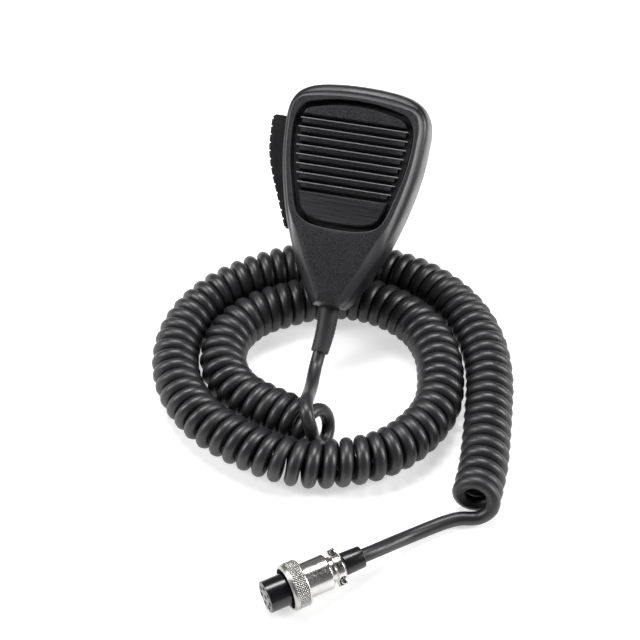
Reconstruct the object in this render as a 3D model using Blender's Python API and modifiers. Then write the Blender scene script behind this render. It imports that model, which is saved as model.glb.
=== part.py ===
"""Hand microphone with a push-to-talk key, a curly cord and a round eight-way plug.

The table is z = 0. The microphone leans back on its coiled cord, and the plug lies in front.
Its own pieces are drawn in the microphone's frame: x across, y along the case from the cord
exit to the head, z out of the grille, with z = 0 where the two shells meet. That frame is scaled
by CASE_SCALE, which fits the case to the photograph, so a size drawn in it is that much smaller.
"""

import math

import bmesh
import bpy
from mathutils import Vector

MM = 0.001
GAP = 0.3 * MM

# Microphone
CASE_SCALE = 0.93
LEAN = math.radians(42)
CORD_EXIT = (0.5 * MM, -18.1 * MM, 22.3 * MM)
BODY_KNOTS = ((10.2, 3.2), (18, 18.3), (24, 33.5), (28.4, 49), (31.2, 64), (32, 78), (31.4, 86),
              (27.5, 92.6), (20.5, 96), (10, 97.6), (0, 98))
BODY_FOOT = ((0, 0), (7, 0))
OPENING_KNOTS = ((0, 33.5), (9, 34), (15.3, 35.8), (19.2, 39.6), (22, 48), (25.1, 61), (26.3, 73),
                 (25.8, 80.5), (22.6, 85.6), (17.2, 87.6), (9, 89.2), (0, 89.8))
HEAD_DEPTH = 18.5 * MM
FRONT_DEPTHS = (11.5 * MM, HEAD_DEPTH)
HEAD_BACK = 13 * MM
BACK_DEPTHS = (9 * MM, HEAD_BACK)
SLOPE_START = -12 * MM
SLOPE_END = 39 * MM
WALL = 2.2 * MM
CAVITY_FOOT = 3 * MM

# Each level of a shell: share of the depth, inset on the head's sides, on its top and on the neck
FRONT_LEVELS = ((0, 0, 0, 0), (0.3, 0.25, 0.3, 0.3), (0.5, 0.8, 1.2, 1), (0.58, 1.5, 2.6, 1.5),
                (0.62, 2.3, 4, 1.9), (0.66, 2.8, 4.6, 2.3), (0.8, 3.2, 5.6, 3.4), (0.92, 3.5, 6.5, 4.7),
                (1, 4, 7.2, 6.4))
FRONT_CAVITY_LEVELS = ((0, 0, 0, 0), (0.5, 0.9, 1.2, 1), (0.66, 2.8, 4.6, 2.3), (1, 4, 7.2, 6.4))
BACK_LEVELS = ((0, 0, 0, 0), (0.5, 0.2, 0.2, 0.2), (0.72, 0.8, 0.8, 0.7), (0.87, 2, 2, 1.5),
               (0.96, 3.4, 3.4, 2.5), (1, 5, 5, 3.7))
BACK_CAVITY_LEVELS = ((0, 0, 0, 0), (0.72, 0.8, 0.8, 0.7), (0.96, 3.4, 3.4, 2.5), (1, 5, 5, 3.7))

# Grille
SLAT_COUNT = 8
SLAT_PITCH = 3.95 * MM
SLAT_GAP = 1.35 * MM
SLAT_FOOT = 48.1 * MM
PANEL_LOW = 12.5 * MM
PANEL_BASE = 14 * MM
PANEL_TOP = 17.2 * MM
LEDGE_LOW = 11.2 * MM
LEDGE_WIDTH = 1.5 * MM
SCREEN_LOW = 11.8 * MM

# Push-to-talk key
KEY_LOW = 31.5 * MM
KEY_HIGH = 80.5 * MM
KEY_BACK = -6.5 * MM
KEY_FRONT = 3.5 * MM
KEY_PIVOT = (-17.3 * MM, 33 * MM)
GROOVE_PITCH = 3.6 * MM
PIN_RADIUS = 1 * MM
SPRING_RADIUS = 1.6 * MM
SPRING_PITCH = 1 * MM
PIN_SEAT_TOP = -9.1 * MM
PIN_POST_LOW = 4.4 * MM

# Case screws and circuit board
SCREW_PLACES = ((24.5 * MM, 89.5 * MM), (-24.5 * MM, 89.5 * MM), (10.5 * MM, 20 * MM), (-10.5 * MM, 20 * MM))
BOARD_BACK = -5.5 * MM
BOARD_FRONT = -4 * MM
BOARD_POSTS = ((-8 * MM, 33 * MM), (8 * MM, 73 * MM))
BUTTON_PLACE = (0, 66 * MM)
CARTRIDGE_PLACE = (0, 62 * MM)

# Cord
CORD_RADIUS = 2.7 * MM
RELIEF_RADIUS = 4.55 * MM
FLANGE_RADIUS = 5.7 * MM
FLANGE_LOW = 1.8 * MM
FLANGE_HIGH = 4.2 * MM
COIL_RADIUS = 9.7 * MM
COIL_SIDES = 12
COIL_ROUTE = ((-3.5, -68), (-12.5, -65.7), (-26.5, -59.7), (-36, -48.2), (-38, -33.2), (-31.5, -19.2),
              (-20, -9.2), (-6.5, -1.7), (8.5, 0.8), (23.5, -1.7), (37, -9.2), (46, -21.2), (50.5, -36.2),
              (51, -51.2), (45, -65.7), (35, -77.2), (21.5, -84.7), (6.5, -88.7), (-8.5, -87.7),
              (-23.5, -83.2), (-37, -76.7), (-48.5, -66.2), (-56, -52.7), (-58.5, -37.7), (-56, -22.7),
              (-49, -9.2), (-38.5, 1.8), (-26, 10.8), (-12, 17.8), (3, 20.8), (18, 19.8), (33, 16.3),
              (46.5, 8.8), (57.5, -2.2), (65, -15.2), (69.5, -30.2), (71.5, -45.2), (73, -60.7),
              (74, -75.7), (73.5, -91.2))
MIC_ROUTE = ((0.5, -9.55, 29.99), (0.5, -18.1, 22.3), (0.5, -25.5, 15.6), (0.5, -32.2, 9.6),
             (0.4, -37.2, 7.2), (0.3, -42.2, 6.9), (0.3, -48, 8.3), (0.6, -54.5, 11.6),
             (1.4, -61.2, 16.6), (2.4, -68, 21.2), (3.8, -74.2, 21.8), (4.8, -76.4, 16.4),
             (3.5, -75.6, 11.6), (0.2, -74.2, 9.6), (-3.9, -73.4, 9.4))
PLUG_ROUTE = ((76.5, -95.2, 3.6), (73, -95.3, 3), (68.8, -96.4, 2.75), (64, -98.8, 2.75),
              (58.5, -102.9, 2.8), (51.5, -109, 3.5), (46.5, -114.3, 5.2), (41.6, -120.2, 7.6),
              (36.87, -125.06, 8.95), (31.5, -129.5, 9), (26.46, -133.65, 9))

# Plug
PLUG_FACE = (6 * MM, -150.5 * MM, 9 * MM)
PLUG_HEADING = math.radians(39.5)
RING_RADIUS = 8.9 * MM
SHELL_RADIUS = 6.85 * MM
INSERT_RADIUS = 6.1 * MM
CONTACT_CIRCLE = 3.9 * MM
CONTACT_HOLE = 0.9 * MM
CONTACT_RADIUS = 0.55 * MM
CLAMP_RADIUS = 5.7 * MM
CLAMP_TURN = math.radians(30)
EAR_REACH = 7.1 * MM
EAR_HEIGHT = 2 * MM
EAR_SCREW = 5.7 * MM
CLAMP_LOW = 26.9 * MM
CLAMP_HIGH = 31.2 * MM

ROUND_STEPS = 32

BLACK_PLASTIC = ((0.018, 0.018, 0.021), 0.5, 0)
DARK_PLASTIC = ((0.010, 0.010, 0.012), 0.45, 0)
RUBBER = ((0.020, 0.020, 0.023), 0.6, 0)
BRUSHED = ((0.05, 0.05, 0.056), 0.35, 0.7)
NICKEL = ((0.72, 0.71, 0.68), 0.22, 1)
STEEL = ((0.5, 0.5, 0.5), 0.3, 1)
BRASS = ((0.75, 0.55, 0.25), 0.3, 1)
FELT = ((0.012, 0.012, 0.012), 0.95, 0)
BOARD_GREEN = ((0.02, 0.12, 0.05), 0.5, 0)


def start():
    """An empty scene, with a collection for the parts and one for the cutters."""
    for thing in list(bpy.data.objects):
        bpy.data.objects.remove(thing)
    for name in ("hand_microphone", "cutters"):
        bpy.context.scene.collection.children.link(bpy.data.collections.new(name))


def finish_of(name, look):
    colour, roughness, metallic = look
    made = bpy.data.materials.new(name)
    made.use_nodes = True
    shader = made.node_tree.nodes["Principled BSDF"]
    shader.inputs["Base Color"].default_value = (*colour, 1)
    shader.inputs["Roughness"].default_value = roughness
    shader.inputs["Metallic"].default_value = metallic
    return made


def anchor(name, location, rotation):
    frame = bpy.data.objects.new(name, None)
    frame.location = location
    frame.rotation_euler = rotation
    bpy.data.collections["hand_microphone"].objects.link(frame)
    return frame


def add(name, data, parent=None, look=None, location=(0, 0, 0)):
    """A part where there is a look, and a hidden helper where there is none."""
    thing = bpy.data.objects.new(name, data)
    thing.parent = parent
    thing.location = location
    if look is None:
        thing.hide_render = True
        thing.display_type = "WIRE"
        bpy.data.collections["cutters"].objects.link(thing)
    else:
        thing.data.materials.append(finish_of(name, look))
        bpy.data.collections["hand_microphone"].objects.link(thing)
    return thing


def mesh_of(name, build):
    """A mesh filled by a function that takes a bmesh."""
    shape = bmesh.new()
    build(shape)
    data = bpy.data.meshes.new(name)
    shape.to_mesh(data)
    shape.free()
    return data


def combine(target, other, operation):
    step = target.modifiers.new(other.name, "BOOLEAN")
    step.operation = operation
    step.object = other
    step.solver = "EXACT"


def cut(target, *cutters):
    for cutter in cutters:
        combine(target, cutter, "DIFFERENCE")


def join(target, *others):
    for other in others:
        combine(target, other, "UNION")


def smooth(thing, degrees=35):
    thing.data.shade_smooth()
    thing.data.set_sharp_from_angle(angle=math.radians(degrees))
    return thing


def place(shape, made, centre):
    bmesh.ops.translate(shape, vec=Vector(centre), verts=made["verts"])


def block(name, low, high, parent, look=None, bevel=0):
    """A box between two opposite corners, with rounded edges where a bevel is given."""
    size = Vector(abs(b - a) for a, b in zip(low, high))
    centre = (Vector(high) + Vector(low)) / 2

    def build(shape):
        made = bmesh.ops.create_cube(shape, size=1)
        bmesh.ops.scale(shape, vec=size, verts=made["verts"])

    thing = add(name, mesh_of(name, build), parent, look, centre)
    if bevel:
        edge = thing.modifiers.new("rounded", "BEVEL")
        edge.width = bevel
        edge.segments = 2
    return thing


def rod(name, radius, low, high, place_xy, parent, look=None, sides=24):
    """A round bar along z."""

    def build(shape):
        bmesh.ops.create_cone(shape, cap_ends=True, segments=sides, radius1=radius, radius2=radius,
                              depth=high - low)

    thing = add(name, mesh_of(name, build), parent, look, (*place_xy, (low + high) / 2))
    return smooth(thing) if look else thing


def turned(name, profile, parent, look=None, location=(0, 0, 0), steps=ROUND_STEPS):
    """A profile of (radius, height) points, turned about z. It runs down its outer side."""
    data = bpy.data.meshes.new(name)
    closed = profile[0][0] > 0
    links = [(i, i + 1) for i in range(len(profile) - 1)]
    if closed:
        links.append((len(profile) - 1, 0))
    data.from_pydata([(r, 0, h) for r, h in profile], links, [])
    thing = add(name, data, parent, look, location)
    spin = thing.modifiers.new("turned", "SCREW")
    spin.steps = steps
    spin.render_steps = steps
    spin.use_merge_vertices = True
    spin.merge_threshold = 0.00001
    spin.use_smooth_shade = False
    return thing


def flat_piece(name, outline, low, high, parent, look=None):
    """A flat outline given a thickness along z."""
    curve = bpy.data.curves.new(name, "CURVE")
    curve.dimensions = "2D"
    curve.fill_mode = "BOTH"
    curve.extrude = (high - low) / 2
    line = curve.splines.new("POLY")
    line.points.add(len(outline) - 1)
    for point, (x, y) in zip(line.points, outline):
        point.co = (x, y, 0, 1)
    line.use_cyclic_u = True
    guide = bpy.data.objects.new(name + "_outline", curve)
    bpy.context.scene.collection.objects.link(guide)
    graph = bpy.context.evaluated_depsgraph_get()
    data = bpy.data.meshes.new_from_object(guide.evaluated_get(graph), depsgraph=graph)
    bpy.data.objects.remove(guide)
    shape = bmesh.new()
    shape.from_mesh(data)
    bmesh.ops.remove_doubles(shape, verts=shape.verts, dist=0.00001)
    bmesh.ops.recalc_face_normals(shape, faces=shape.faces)
    shape.to_mesh(data)
    shape.free()
    return add(name, data, parent, look, (0, 0, (low + high) / 2))


def tube(name, points, radius, resolution, look, parent=None, tilt=0):
    curve = bpy.data.curves.new(name, "CURVE")
    curve.dimensions = "3D"
    curve.twist_mode = "Z_UP"
    curve.bevel_depth = radius
    curve.bevel_resolution = resolution
    curve.use_fill_caps = True
    line = curve.splines.new("POLY")
    line.points.add(len(points) - 1)
    for point, place_xyz in zip(line.points, points):
        point.co = (*place_xyz, 1)
        point.tilt = tilt
    return add(name, curve, parent, look)


def curve_through(knots, count):
    """Points spaced evenly along the smooth curve through the knots."""
    knots = [Vector(k) for k in knots]
    ends = [2 * knots[0] - knots[1]] + knots + [2 * knots[-1] - knots[-2]]
    fine = []
    for a, b, c, d in zip(ends, ends[1:], ends[2:], ends[3:]):
        for step in range(24):
            t = step / 24
            fine.append((2 * b + (c - a) * t + (2 * a - 5 * b + 4 * c - d) * t ** 2
                         + (3 * b - a - 3 * c + d) * t ** 3) / 2)
    fine.append(knots[-1])
    return even(fine, count)


def even(points, count):
    """The same line, as count points spaced evenly along it."""
    run = [0]
    for a, b in zip(points, points[1:]):
        run.append(run[-1] + (b - a).length)
    found = []
    at = 0
    for k in range(count):
        want = run[-1] * k / (count - 1)
        while at < len(points) - 2 and run[at + 1] < want:
            at += 1
        share = (want - run[at]) / (run[at + 1] - run[at])
        found.append(points[at].lerp(points[at + 1], share))
    return found


def in_mm(points):
    return [tuple(value * MM for value in point) for point in points]


def ease(value, low, high):
    t = min(1, max(0, (value - low) / (high - low)))
    return t * t * (3 - 2 * t)


def half_body():
    """The right half of the case's outline, from the middle of its foot to the middle of its top."""
    side = curve_through(in_mm(BODY_KNOTS), 22)
    return [Vector(p) for p in in_mm(BODY_FOOT)] + side


def half_opening():
    """The right half of the grille opening, from its lowest point to its highest."""
    return curve_through(in_mm(OPENING_KNOTS), 20)


def normals_of(half):
    """The outward normal at each point of a half outline whose two ends lie on x = 0."""
    found = []
    for i, point in enumerate(half):
        before = half[i - 1] if i else Vector((-half[1].x, half[1].y))
        after = half[i + 1] if i < len(half) - 1 else Vector((-half[-2].x, half[-2].y))
        along = ((point - before).normalized() + (after - point).normalized()).normalized()
        found.append(Vector((along.y, -along.x)))
    return found


def inset(half, depth):
    """A half outline moved in by a distance, or out by a negative one."""
    moved = [p - n * depth for p, n in zip(half, normals_of(half))]
    moved[0].x = 0
    moved[-1].x = 0
    return moved


def whole(half):
    """Both halves of an outline, right half first."""
    return [tuple(p) for p in half] + [(-p.x, p.y) for p in reversed(half[1:-1])]


def depth_at(y, neck, head):
    """How deep the case is at a height: it grows from the neck to the head."""
    return neck + (head - neck) * ease(y, SLOPE_START, SLOPE_END)


def shell_solid(name, rings, parent, look=None):
    """A solid between stacked rings of a symmetric outline, its two ends closed by strips across."""
    count = len(rings[0])
    half = count // 2

    def build(shape):
        rows = [[shape.verts.new(p) for p in ring] for ring in rings]
        for low, high in zip(rows, rows[1:]):
            for i in range(count):
                j = (i + 1) % count
                shape.faces.new((low[i], low[j], high[j], high[i]))
        for row in (rows[0], rows[-1]):
            shape.faces.new((row[0], row[1], row[2], row[-2], row[-1]))
            for i in range(2, half - 1):
                shape.faces.new((row[i], row[i + 1], row[-i - 1], row[-i]))
            shape.faces.new((row[half - 1], row[half], row[half + 1]))
        bmesh.ops.recalc_face_normals(shape, faces=shape.faces)
        bmesh.ops.triangulate(shape, faces=shape.faces)

    thing = add(name, mesh_of(name, build), parent, look)
    return smooth(thing, 28) if look else thing


def case_rings(levels, depths, way, shrink=0, foot=0):
    """The levels of the front shell (way 1) or the rear cover (way -1), or of its cavity."""
    half = half_body()
    start = -1 * MM if shrink else 0 if way > 0 else GAP
    rings = []
    for share, side, top, neck in levels:
        level = []
        for point, normal in zip(half, normals_of(half)):
            head = side + (top - side) * max(0, normal.y) ** 2
            step = (neck + (head - neck) * ease(point.y, 24 * MM, 42 * MM)) * MM + shrink
            drop = step if normal.y > 0 else step * 0.35
            x = point.x and max(0, point.x - normal.x * step)
            y = max(point.y - normal.y * drop, foot)
            depth = depth_at(y, *depths) - shrink
            level.append((x, y, way * (start + (depth - start) * share)))
        rings.append(level + [(-x, y, z) for x, y, z in reversed(level[1:-1])])
    return rings


def body_side(y):
    """Half the case's width at a height."""
    half = half_body()
    for low, high in zip(half, half[1:]):
        if low.y <= y <= high.y:
            return low.x + (high.x - low.x) * (y - low.y) / (high.y - low.y)
    return 0


def key_reach(y):
    """How far the key stands proud of the case: most at the thumb end, least by its pivot."""
    along = (y - KEY_LOW) / (KEY_HIGH - KEY_LOW)
    return (2.2 + 4.6 * ease(along, 0, 0.75)) * MM


def key_outline():
    """The key seen from the front, with grip grooves down its outer edge."""
    outer = []
    y = KEY_LOW + 0.9 * MM
    outer.append((-body_side(KEY_LOW) - 1.4 * MM, KEY_LOW))
    while y < KEY_HIGH - 1.2 * MM:
        x = -body_side(y) - key_reach(y)
        outer += [(x, y), (x, y + GROOVE_PITCH - 1.1 * MM), (x + 0.7 * MM, y + GROOVE_PITCH - 0.8 * MM),
                  (x + 0.7 * MM, y + GROOVE_PITCH - 0.3 * MM)]
        y += GROOVE_PITCH
    outer = [p for p in outer if p[1] < KEY_HIGH - 0.9 * MM]
    outer.append((outer[-1][0] + 0.6 * MM, KEY_HIGH))
    inner = [(-body_side(y * MM) + 4 * MM, y * MM) for y in (80.5, 70, 60, 50, 40, 31.5)]
    return outer + inner


def key_flange():
    """The lip behind the case wall that keeps the key in."""
    heights = [h * MM for h in (36.5, 44, 54, 64, 74, 82.2)]
    outer = [(-body_side(y) + 3.2 * MM, y) for y in heights]
    inner = [(-body_side(y) + 5 * MM, y) for y in reversed(heights)]
    return outer + inner


def make_front_shell(mic):
    shell = shell_solid("front_shell", case_rings(FRONT_LEVELS, FRONT_DEPTHS, 1), mic, BLACK_PLASTIC)
    cavity = case_rings(FRONT_CAVITY_LEVELS, FRONT_DEPTHS, 1, WALL, CAVITY_FOOT)
    cut(shell, shell_solid("front_cavity", cavity, mic))
    opening = half_opening()
    ledge_top = PANEL_LOW - GAP
    join(shell, flat_piece("grille_collar", whole(inset(opening, -1.2 * MM)), LEDGE_LOW, PANEL_TOP, mic))
    cut(shell, flat_piece("grille_opening", whole(opening), ledge_top, HEAD_DEPTH + 2 * MM, mic),
        flat_piece("ledge_opening", whole(inset(opening, LEDGE_WIDTH)), LEDGE_LOW - 2 * MM, 14 * MM, mic))
    post_top = 9.4 * MM
    x, y = KEY_PIVOT
    join(shell, block("pin_post", (x - 3.5 * MM, y - 2 * MM, PIN_POST_LOW),
                      (x + 2.4 * MM, y + 2.4 * MM, post_top), mic))
    for i, (spot, top) in enumerate(zip(SCREW_PLACES, (8.6, 8.6, 14.6, 14.6))):
        join(shell, rod(f"front_boss_{i + 1}", 2.2 * MM, 0.6 * MM, top * MM, spot, mic, sides=12))
        cut(shell, rod(f"front_screw_hole_{i + 1}", 1.25 * MM, -1 * MM, 7.2 * MM, spot, mic, sides=8))
    cut(shell, key_slot(mic), relief_bore("front", mic),
        rod("pin_hole_front", PIN_RADIUS + GAP, 3 * MM, 7.6 * MM, KEY_PIVOT, mic, sides=12))


def key_slot(mic):
    """The gap in the left wall that the key passes through, one box for both shells."""
    found = bpy.data.objects.get("key_slot")
    if found:
        return found
    return block("key_slot", (-40 * MM, KEY_LOW - GAP, KEY_BACK - GAP),
                 (-body_side(KEY_LOW) + 5 * MM, KEY_HIGH + 1.4 * MM, KEY_FRONT + GAP), mic)


def relief_bore(name, mic):
    """The hole in the foot for the strain relief, with room for its locking flange."""
    profile = ((0, 6 * MM), (FLANGE_RADIUS + GAP, 6 * MM), (FLANGE_RADIUS + GAP, FLANGE_LOW - GAP),
               (RELIEF_RADIUS + GAP, FLANGE_LOW - GAP), (RELIEF_RADIUS + GAP, -8 * MM), (0, -8 * MM))
    bore = turned(f"{name}_relief_bore", profile, mic, steps=24)
    bore.rotation_euler = (-math.pi / 2, 0, 0)
    return bore


def screw_seat(spot):
    """The height of the ledge, inside the back wall, that a case screw's head bears on."""
    return -depth_at(spot[1], *BACK_DEPTHS) + WALL


def make_rear_cover(mic):
    cover = shell_solid("rear_cover", case_rings(BACK_LEVELS, BACK_DEPTHS, -1), mic, BLACK_PLASTIC)
    cavity = case_rings(BACK_CAVITY_LEVELS, BACK_DEPTHS, -1, WALL, CAVITY_FOOT)
    cut(cover, shell_solid("rear_cavity", cavity, mic))
    for i, spot in enumerate(SCREW_PLACES):
        seat = screw_seat(spot)
        join(cover, rod(f"rear_boss_{i + 1}", 2.7 * MM, seat - 1 * MM, -GAP, spot, mic, sides=12))
        cut(cover, rod(f"rear_screw_hole_{i + 1}", 1.25 * MM, seat - 1 * MM, 1 * MM, spot, mic, sides=8),
            rod(f"rear_screw_sink_{i + 1}", 2.3 * MM, seat - 6 * MM, seat, spot, mic, sides=12))
    floor = WALL - HEAD_BACK
    for i, spot in enumerate(BOARD_POSTS):
        join(cover, rod(f"board_post_{i + 1}", 2.2 * MM, floor - 1 * MM, BOARD_BACK - GAP, spot, mic,
                        sides=12))
        cut(cover, rod(f"board_screw_hole_{i + 1}", 0.95 * MM, -9 * MM, -4 * MM, spot, mic, sides=8))
    x, y = KEY_PIVOT
    join(cover, block("pin_seat", (x - 2.4 * MM, y - 2.4 * MM, floor - 0.8 * MM),
                      (x + 2.4 * MM, y + 2.4 * MM, PIN_SEAT_TOP), mic))
    cut(cover, key_slot(mic), relief_bore("rear", mic),
        rod("button_hole", 1.6 * MM, -15 * MM, floor + 1 * MM, BUTTON_PLACE, mic, sides=12),
        rod("pin_hole_rear", PIN_RADIUS + GAP, -10.2 * MM, -8 * MM, KEY_PIVOT, mic, sides=12))


def make_grille(mic):
    opening = half_opening()
    panel = flat_piece("grille_panel", whole(inset(opening, GAP)), PANEL_LOW, PANEL_BASE, mic, DARK_PLASTIC)
    raised = inset(opening, 2.3 * MM)
    join(panel, flat_piece("grille_face", whole(raised), PANEL_BASE - 0.5 * MM, PANEL_TOP, mic))
    tops = [SLAT_FOOT + SLAT_PITCH * i for i in range(SLAT_COUNT + 1)]

    def gaps(shape):
        for y in tops:
            made = bmesh.ops.create_cube(shape, size=1)
            size = Vector((60 * MM, SLAT_GAP, 6 * MM))
            bmesh.ops.scale(shape, vec=size, verts=made["verts"])
            place(shape, made, (0, y + SLAT_GAP / 2, PANEL_BASE + 2.8 * MM))

    def slots(shape):
        for y in tops:
            made = bmesh.ops.create_cube(shape, size=1)
            width = 2 * (body_side(y) - 10 * MM)
            bmesh.ops.scale(shape, vec=Vector((width, 0.9 * MM, 6 * MM)), verts=made["verts"])
            place(shape, made, (0, y + SLAT_GAP / 2, PANEL_BASE - 1 * MM))

    cut(panel, add("slat_gaps", mesh_of("slat_gaps", gaps), mic),
        add("sound_slots", mesh_of("sound_slots", slots), mic))
    label = [p for p in inset(opening, 3.2 * MM) if p.y < SLAT_FOOT - 0.8 * MM]
    label.append(Vector((0, label[-1].y)))
    recess = [Vector((0, label[0].y - GAP))] + [p + Vector((GAP, 0)) for p in label[1:-1]]
    recess[1].y -= GAP
    recess.append(Vector((0, label[-1].y + GAP)))
    recess[-2].y += GAP
    cut(panel, flat_piece("label_recess", whole(recess), PANEL_TOP - 0.8 * MM, PANEL_TOP + 1 * MM, mic))
    flat_piece("label_plate", whole(label), PANEL_TOP - 0.5 * MM, PANEL_TOP + 0.1 * MM, mic, BRUSHED)
    flat_piece("dust_screen", whole(inset(opening, LEDGE_WIDTH + GAP)), SCREEN_LOW, PANEL_LOW - GAP, mic, FELT)


def make_cartridge(mic):
    top = SCREEN_LOW - 2 * GAP
    low = 3.6 * MM
    turned("cartridge_boot", ((11.3 * MM, top), (11.3 * MM, low), (7 * MM, low), (7 * MM, low + 1.2 * MM),
                              (9.8 * MM, low + 1.2 * MM), (9.8 * MM, top)),
           mic, RUBBER, (*CARTRIDGE_PLACE, 0), 24)
    turned("mic_cartridge", ((0, top - GAP), (8.6 * MM, top - GAP), (9.4 * MM, top - 1.1 * MM),
                             (9.4 * MM, low + 1.6 * MM), (6 * MM, low + 1.6 * MM), (0, low + 1.6 * MM)),
           mic, STEEL, (*CARTRIDGE_PLACE, 0), 24)


def make_board(mic):
    board = block("circuit_board", (-14 * MM, 28 * MM, BOARD_BACK), (16 * MM, 78 * MM, BOARD_FRONT), mic,
                  BOARD_GREEN)
    for i, spot in enumerate(BOARD_POSTS):
        cut(board, rod(f"board_hole_{i + 1}", 1.3 * MM, BOARD_BACK - 1 * MM, BOARD_FRONT + 1 * MM, spot, mic,
                       sides=12))
        make_screw(f"board_screw_{i + 1}", spot, BOARD_FRONT + GAP, -8.6 * MM, 0.65 * MM, 1.8 * MM, mic)
    block("preamp_chip", (2 * MM, 40 * MM, BOARD_FRONT + GAP), (8 * MM, 50 * MM, BOARD_FRONT + 2 * MM), mic,
          DARK_PLASTIC)


def make_screw(name, spot, seat, tip, shank, head, mic):
    """A cross-head screw along z. Its head stands on the seat, on the side away from its tip."""
    way = 1 if seat > tip else -1
    top = seat + way * 1.3 * MM
    profile = [(0, top), (head * 0.7, top), (head, top - way * 0.5 * MM), (head, seat), (shank, seat),
               (shank, tip + way * 0.5 * MM), (0, tip)]
    if way < 0:
        profile.reverse()
    screw = turned(name, profile, mic, STEEL, (*spot, 0), 12)
    long, short = head * 0.6, 0.25 * MM
    for k, (x, y) in enumerate(((long, short), (short, long))):
        cut(screw, block(f"{name}_cross_{k}", (spot[0] - x, spot[1] - y, top - way * 0.6 * MM),
                         (spot[0] + x, spot[1] + y, top + way * 1 * MM), mic))


def make_case_screws(mic):
    for i, spot in enumerate(SCREW_PLACES):
        make_screw(f"case_screw_{i + 1}", spot, screw_seat(spot) - GAP, 6 * MM, 0.9 * MM, 1.9 * MM, mic)


def make_hanger_button(mic):
    face = -HEAD_BACK - GAP
    profile = ((1.6 * MM, face), (5 * MM, face), (5 * MM, face - 0.8 * MM), (3.6 * MM, face - 1.6 * MM),
               (3.6 * MM, face - 3.6 * MM), (7 * MM, face - 4.2 * MM), (7.4 * MM, face - 4.8 * MM),
               (7.4 * MM, face - 5.6 * MM), (6.8 * MM, face - 6.2 * MM), (3.2 * MM, face - 6.2 * MM),
               (3.2 * MM, face - 4.6 * MM), (1.6 * MM, face - 4.6 * MM))
    turned("hanger_button", profile, mic, NICKEL, (*BUTTON_PLACE, 0), 24)
    make_screw("button_screw", BUTTON_PLACE, face - 4.6 * MM - GAP, -9.6 * MM, 1.2 * MM, 2.6 * MM, mic)


def make_key(mic):
    """The key, its pin, its spring and the switch that it presses. Its origin is on the pivot."""
    pivot = Vector((*KEY_PIVOT, 0))
    key = flat_piece("ptt_key", key_outline(), KEY_BACK, KEY_FRONT, mic, DARK_PLASTIC)
    join(key, flat_piece("key_lip", key_flange(), KEY_BACK - 0.8 * MM, KEY_FRONT + 0.8 * MM, mic))
    eye = rod("key_eye", 2.6 * MM, -4.6 * MM, KEY_FRONT, KEY_PIVOT, mic)
    arm = block("key_arm", (-body_side(KEY_LOW + 2 * MM) + 3.6 * MM, 31.6 * MM, -4.6 * MM),
                (KEY_PIVOT[0] - 1 * MM, 34.6 * MM, KEY_FRONT), mic)
    finger = block("key_finger", (-body_side(65 * MM) + 3.8 * MM, 63.4 * MM, -3 * MM),
                   (-18.7 * MM, 66.6 * MM, 1 * MM), mic)
    join(key, arm, eye, finger)
    cut(key, rod("key_bore", PIN_RADIUS + GAP, -8 * MM, 6 * MM, KEY_PIVOT, mic, sides=20))
    rod("ptt_pivot_pin", PIN_RADIUS, -9.8 * MM, 7.2 * MM, KEY_PIVOT, mic, STEEL, 16)
    low = -8.5 * MM
    turns = 3
    steps = 10
    coil = [(pivot.x + SPRING_RADIUS * math.cos(math.tau * k / steps),
             pivot.y + SPRING_RADIUS * math.sin(math.tau * k / steps),
             low + SPRING_PITCH * k / steps) for k in range(steps * turns + 1)]
    coil.append((pivot.x + SPRING_RADIUS, pivot.y + 7 * MM, coil[-1][2]))
    tube("ptt_spring", coil, 0.3 * MM, 1, STEEL, mic)
    key_origin(key, pivot)


def key_origin(key, pivot):
    """Moves the key's origin onto its pivot and leaves its shape where it is."""
    key.data.transform(key.matrix_basis)
    key.location = pivot
    for vertex in key.data.vertices:
        vertex.co -= pivot


def make_switch(mic):
    """The switch on the board, and the plunger that the key's finger pushes into it."""
    face = -16.7 * MM
    body = block("ptt_switch", (face, 61 * MM, BOARD_FRONT + GAP), (-9 * MM, 69 * MM, 2 * MM), mic,
                 DARK_PLASTIC)
    well = rod("plunger_well", 1.5 * MM, -3.6 * MM, 3.6 * MM, (0, 0), mic, sides=12)
    plunger = rod("switch_plunger", 1.2 * MM, -1.55 * MM, 1.55 * MM, (0, 0), mic, RUBBER, 12)
    for piece, x in ((well, face), (plunger, -16.85 * MM)):
        piece.location = (x, 65 * MM, -1 * MM)
        piece.rotation_euler = (0, math.pi / 2, 0)
    cut(body, well)


def make_relief(mic):
    """The moulded sleeve where the cord leaves, its locking flange, and the clamp on the jacket inside."""
    bore = CORD_RADIUS / CASE_SCALE + GAP
    profile = ((RELIEF_RADIUS, 8 * MM), (RELIEF_RADIUS, FLANGE_HIGH), (FLANGE_RADIUS, FLANGE_HIGH),
               (FLANGE_RADIUS, FLANGE_LOW), (RELIEF_RADIUS, FLANGE_LOW), (RELIEF_RADIUS, -0.5 * MM),
               (4.3 * MM, -9 * MM), (3.9 * MM, -19.9 * MM), (3.7 * MM, -20.3 * MM), (bore, -20.3 * MM),
               (bore, 8 * MM))
    relief = turned("strain_relief", profile, mic, RUBBER, steps=24)
    clamp = turned("cord_clamp", ((4.3 * MM, 10.8 * MM), (4.3 * MM, 8.3 * MM), (bore, 8.3 * MM),
                                  (bore, 10.8 * MM)), mic, STEEL, steps=20)
    for piece in (relief, clamp):
        piece.rotation_euler = (-math.pi / 2, 0, 0)


def make_wires(mic):
    """The cord's cores, from the end of its jacket to the circuit board."""
    route = in_mm(((0, 12.8, 0), (1, 16, 0), (3.5, 23, -1), (5.5, 30.5, -2), (5, 36, -2)))
    tube("wire_bundle", curve_through(route, 10), 1.1 * MM, 2, RUBBER, mic)


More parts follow.
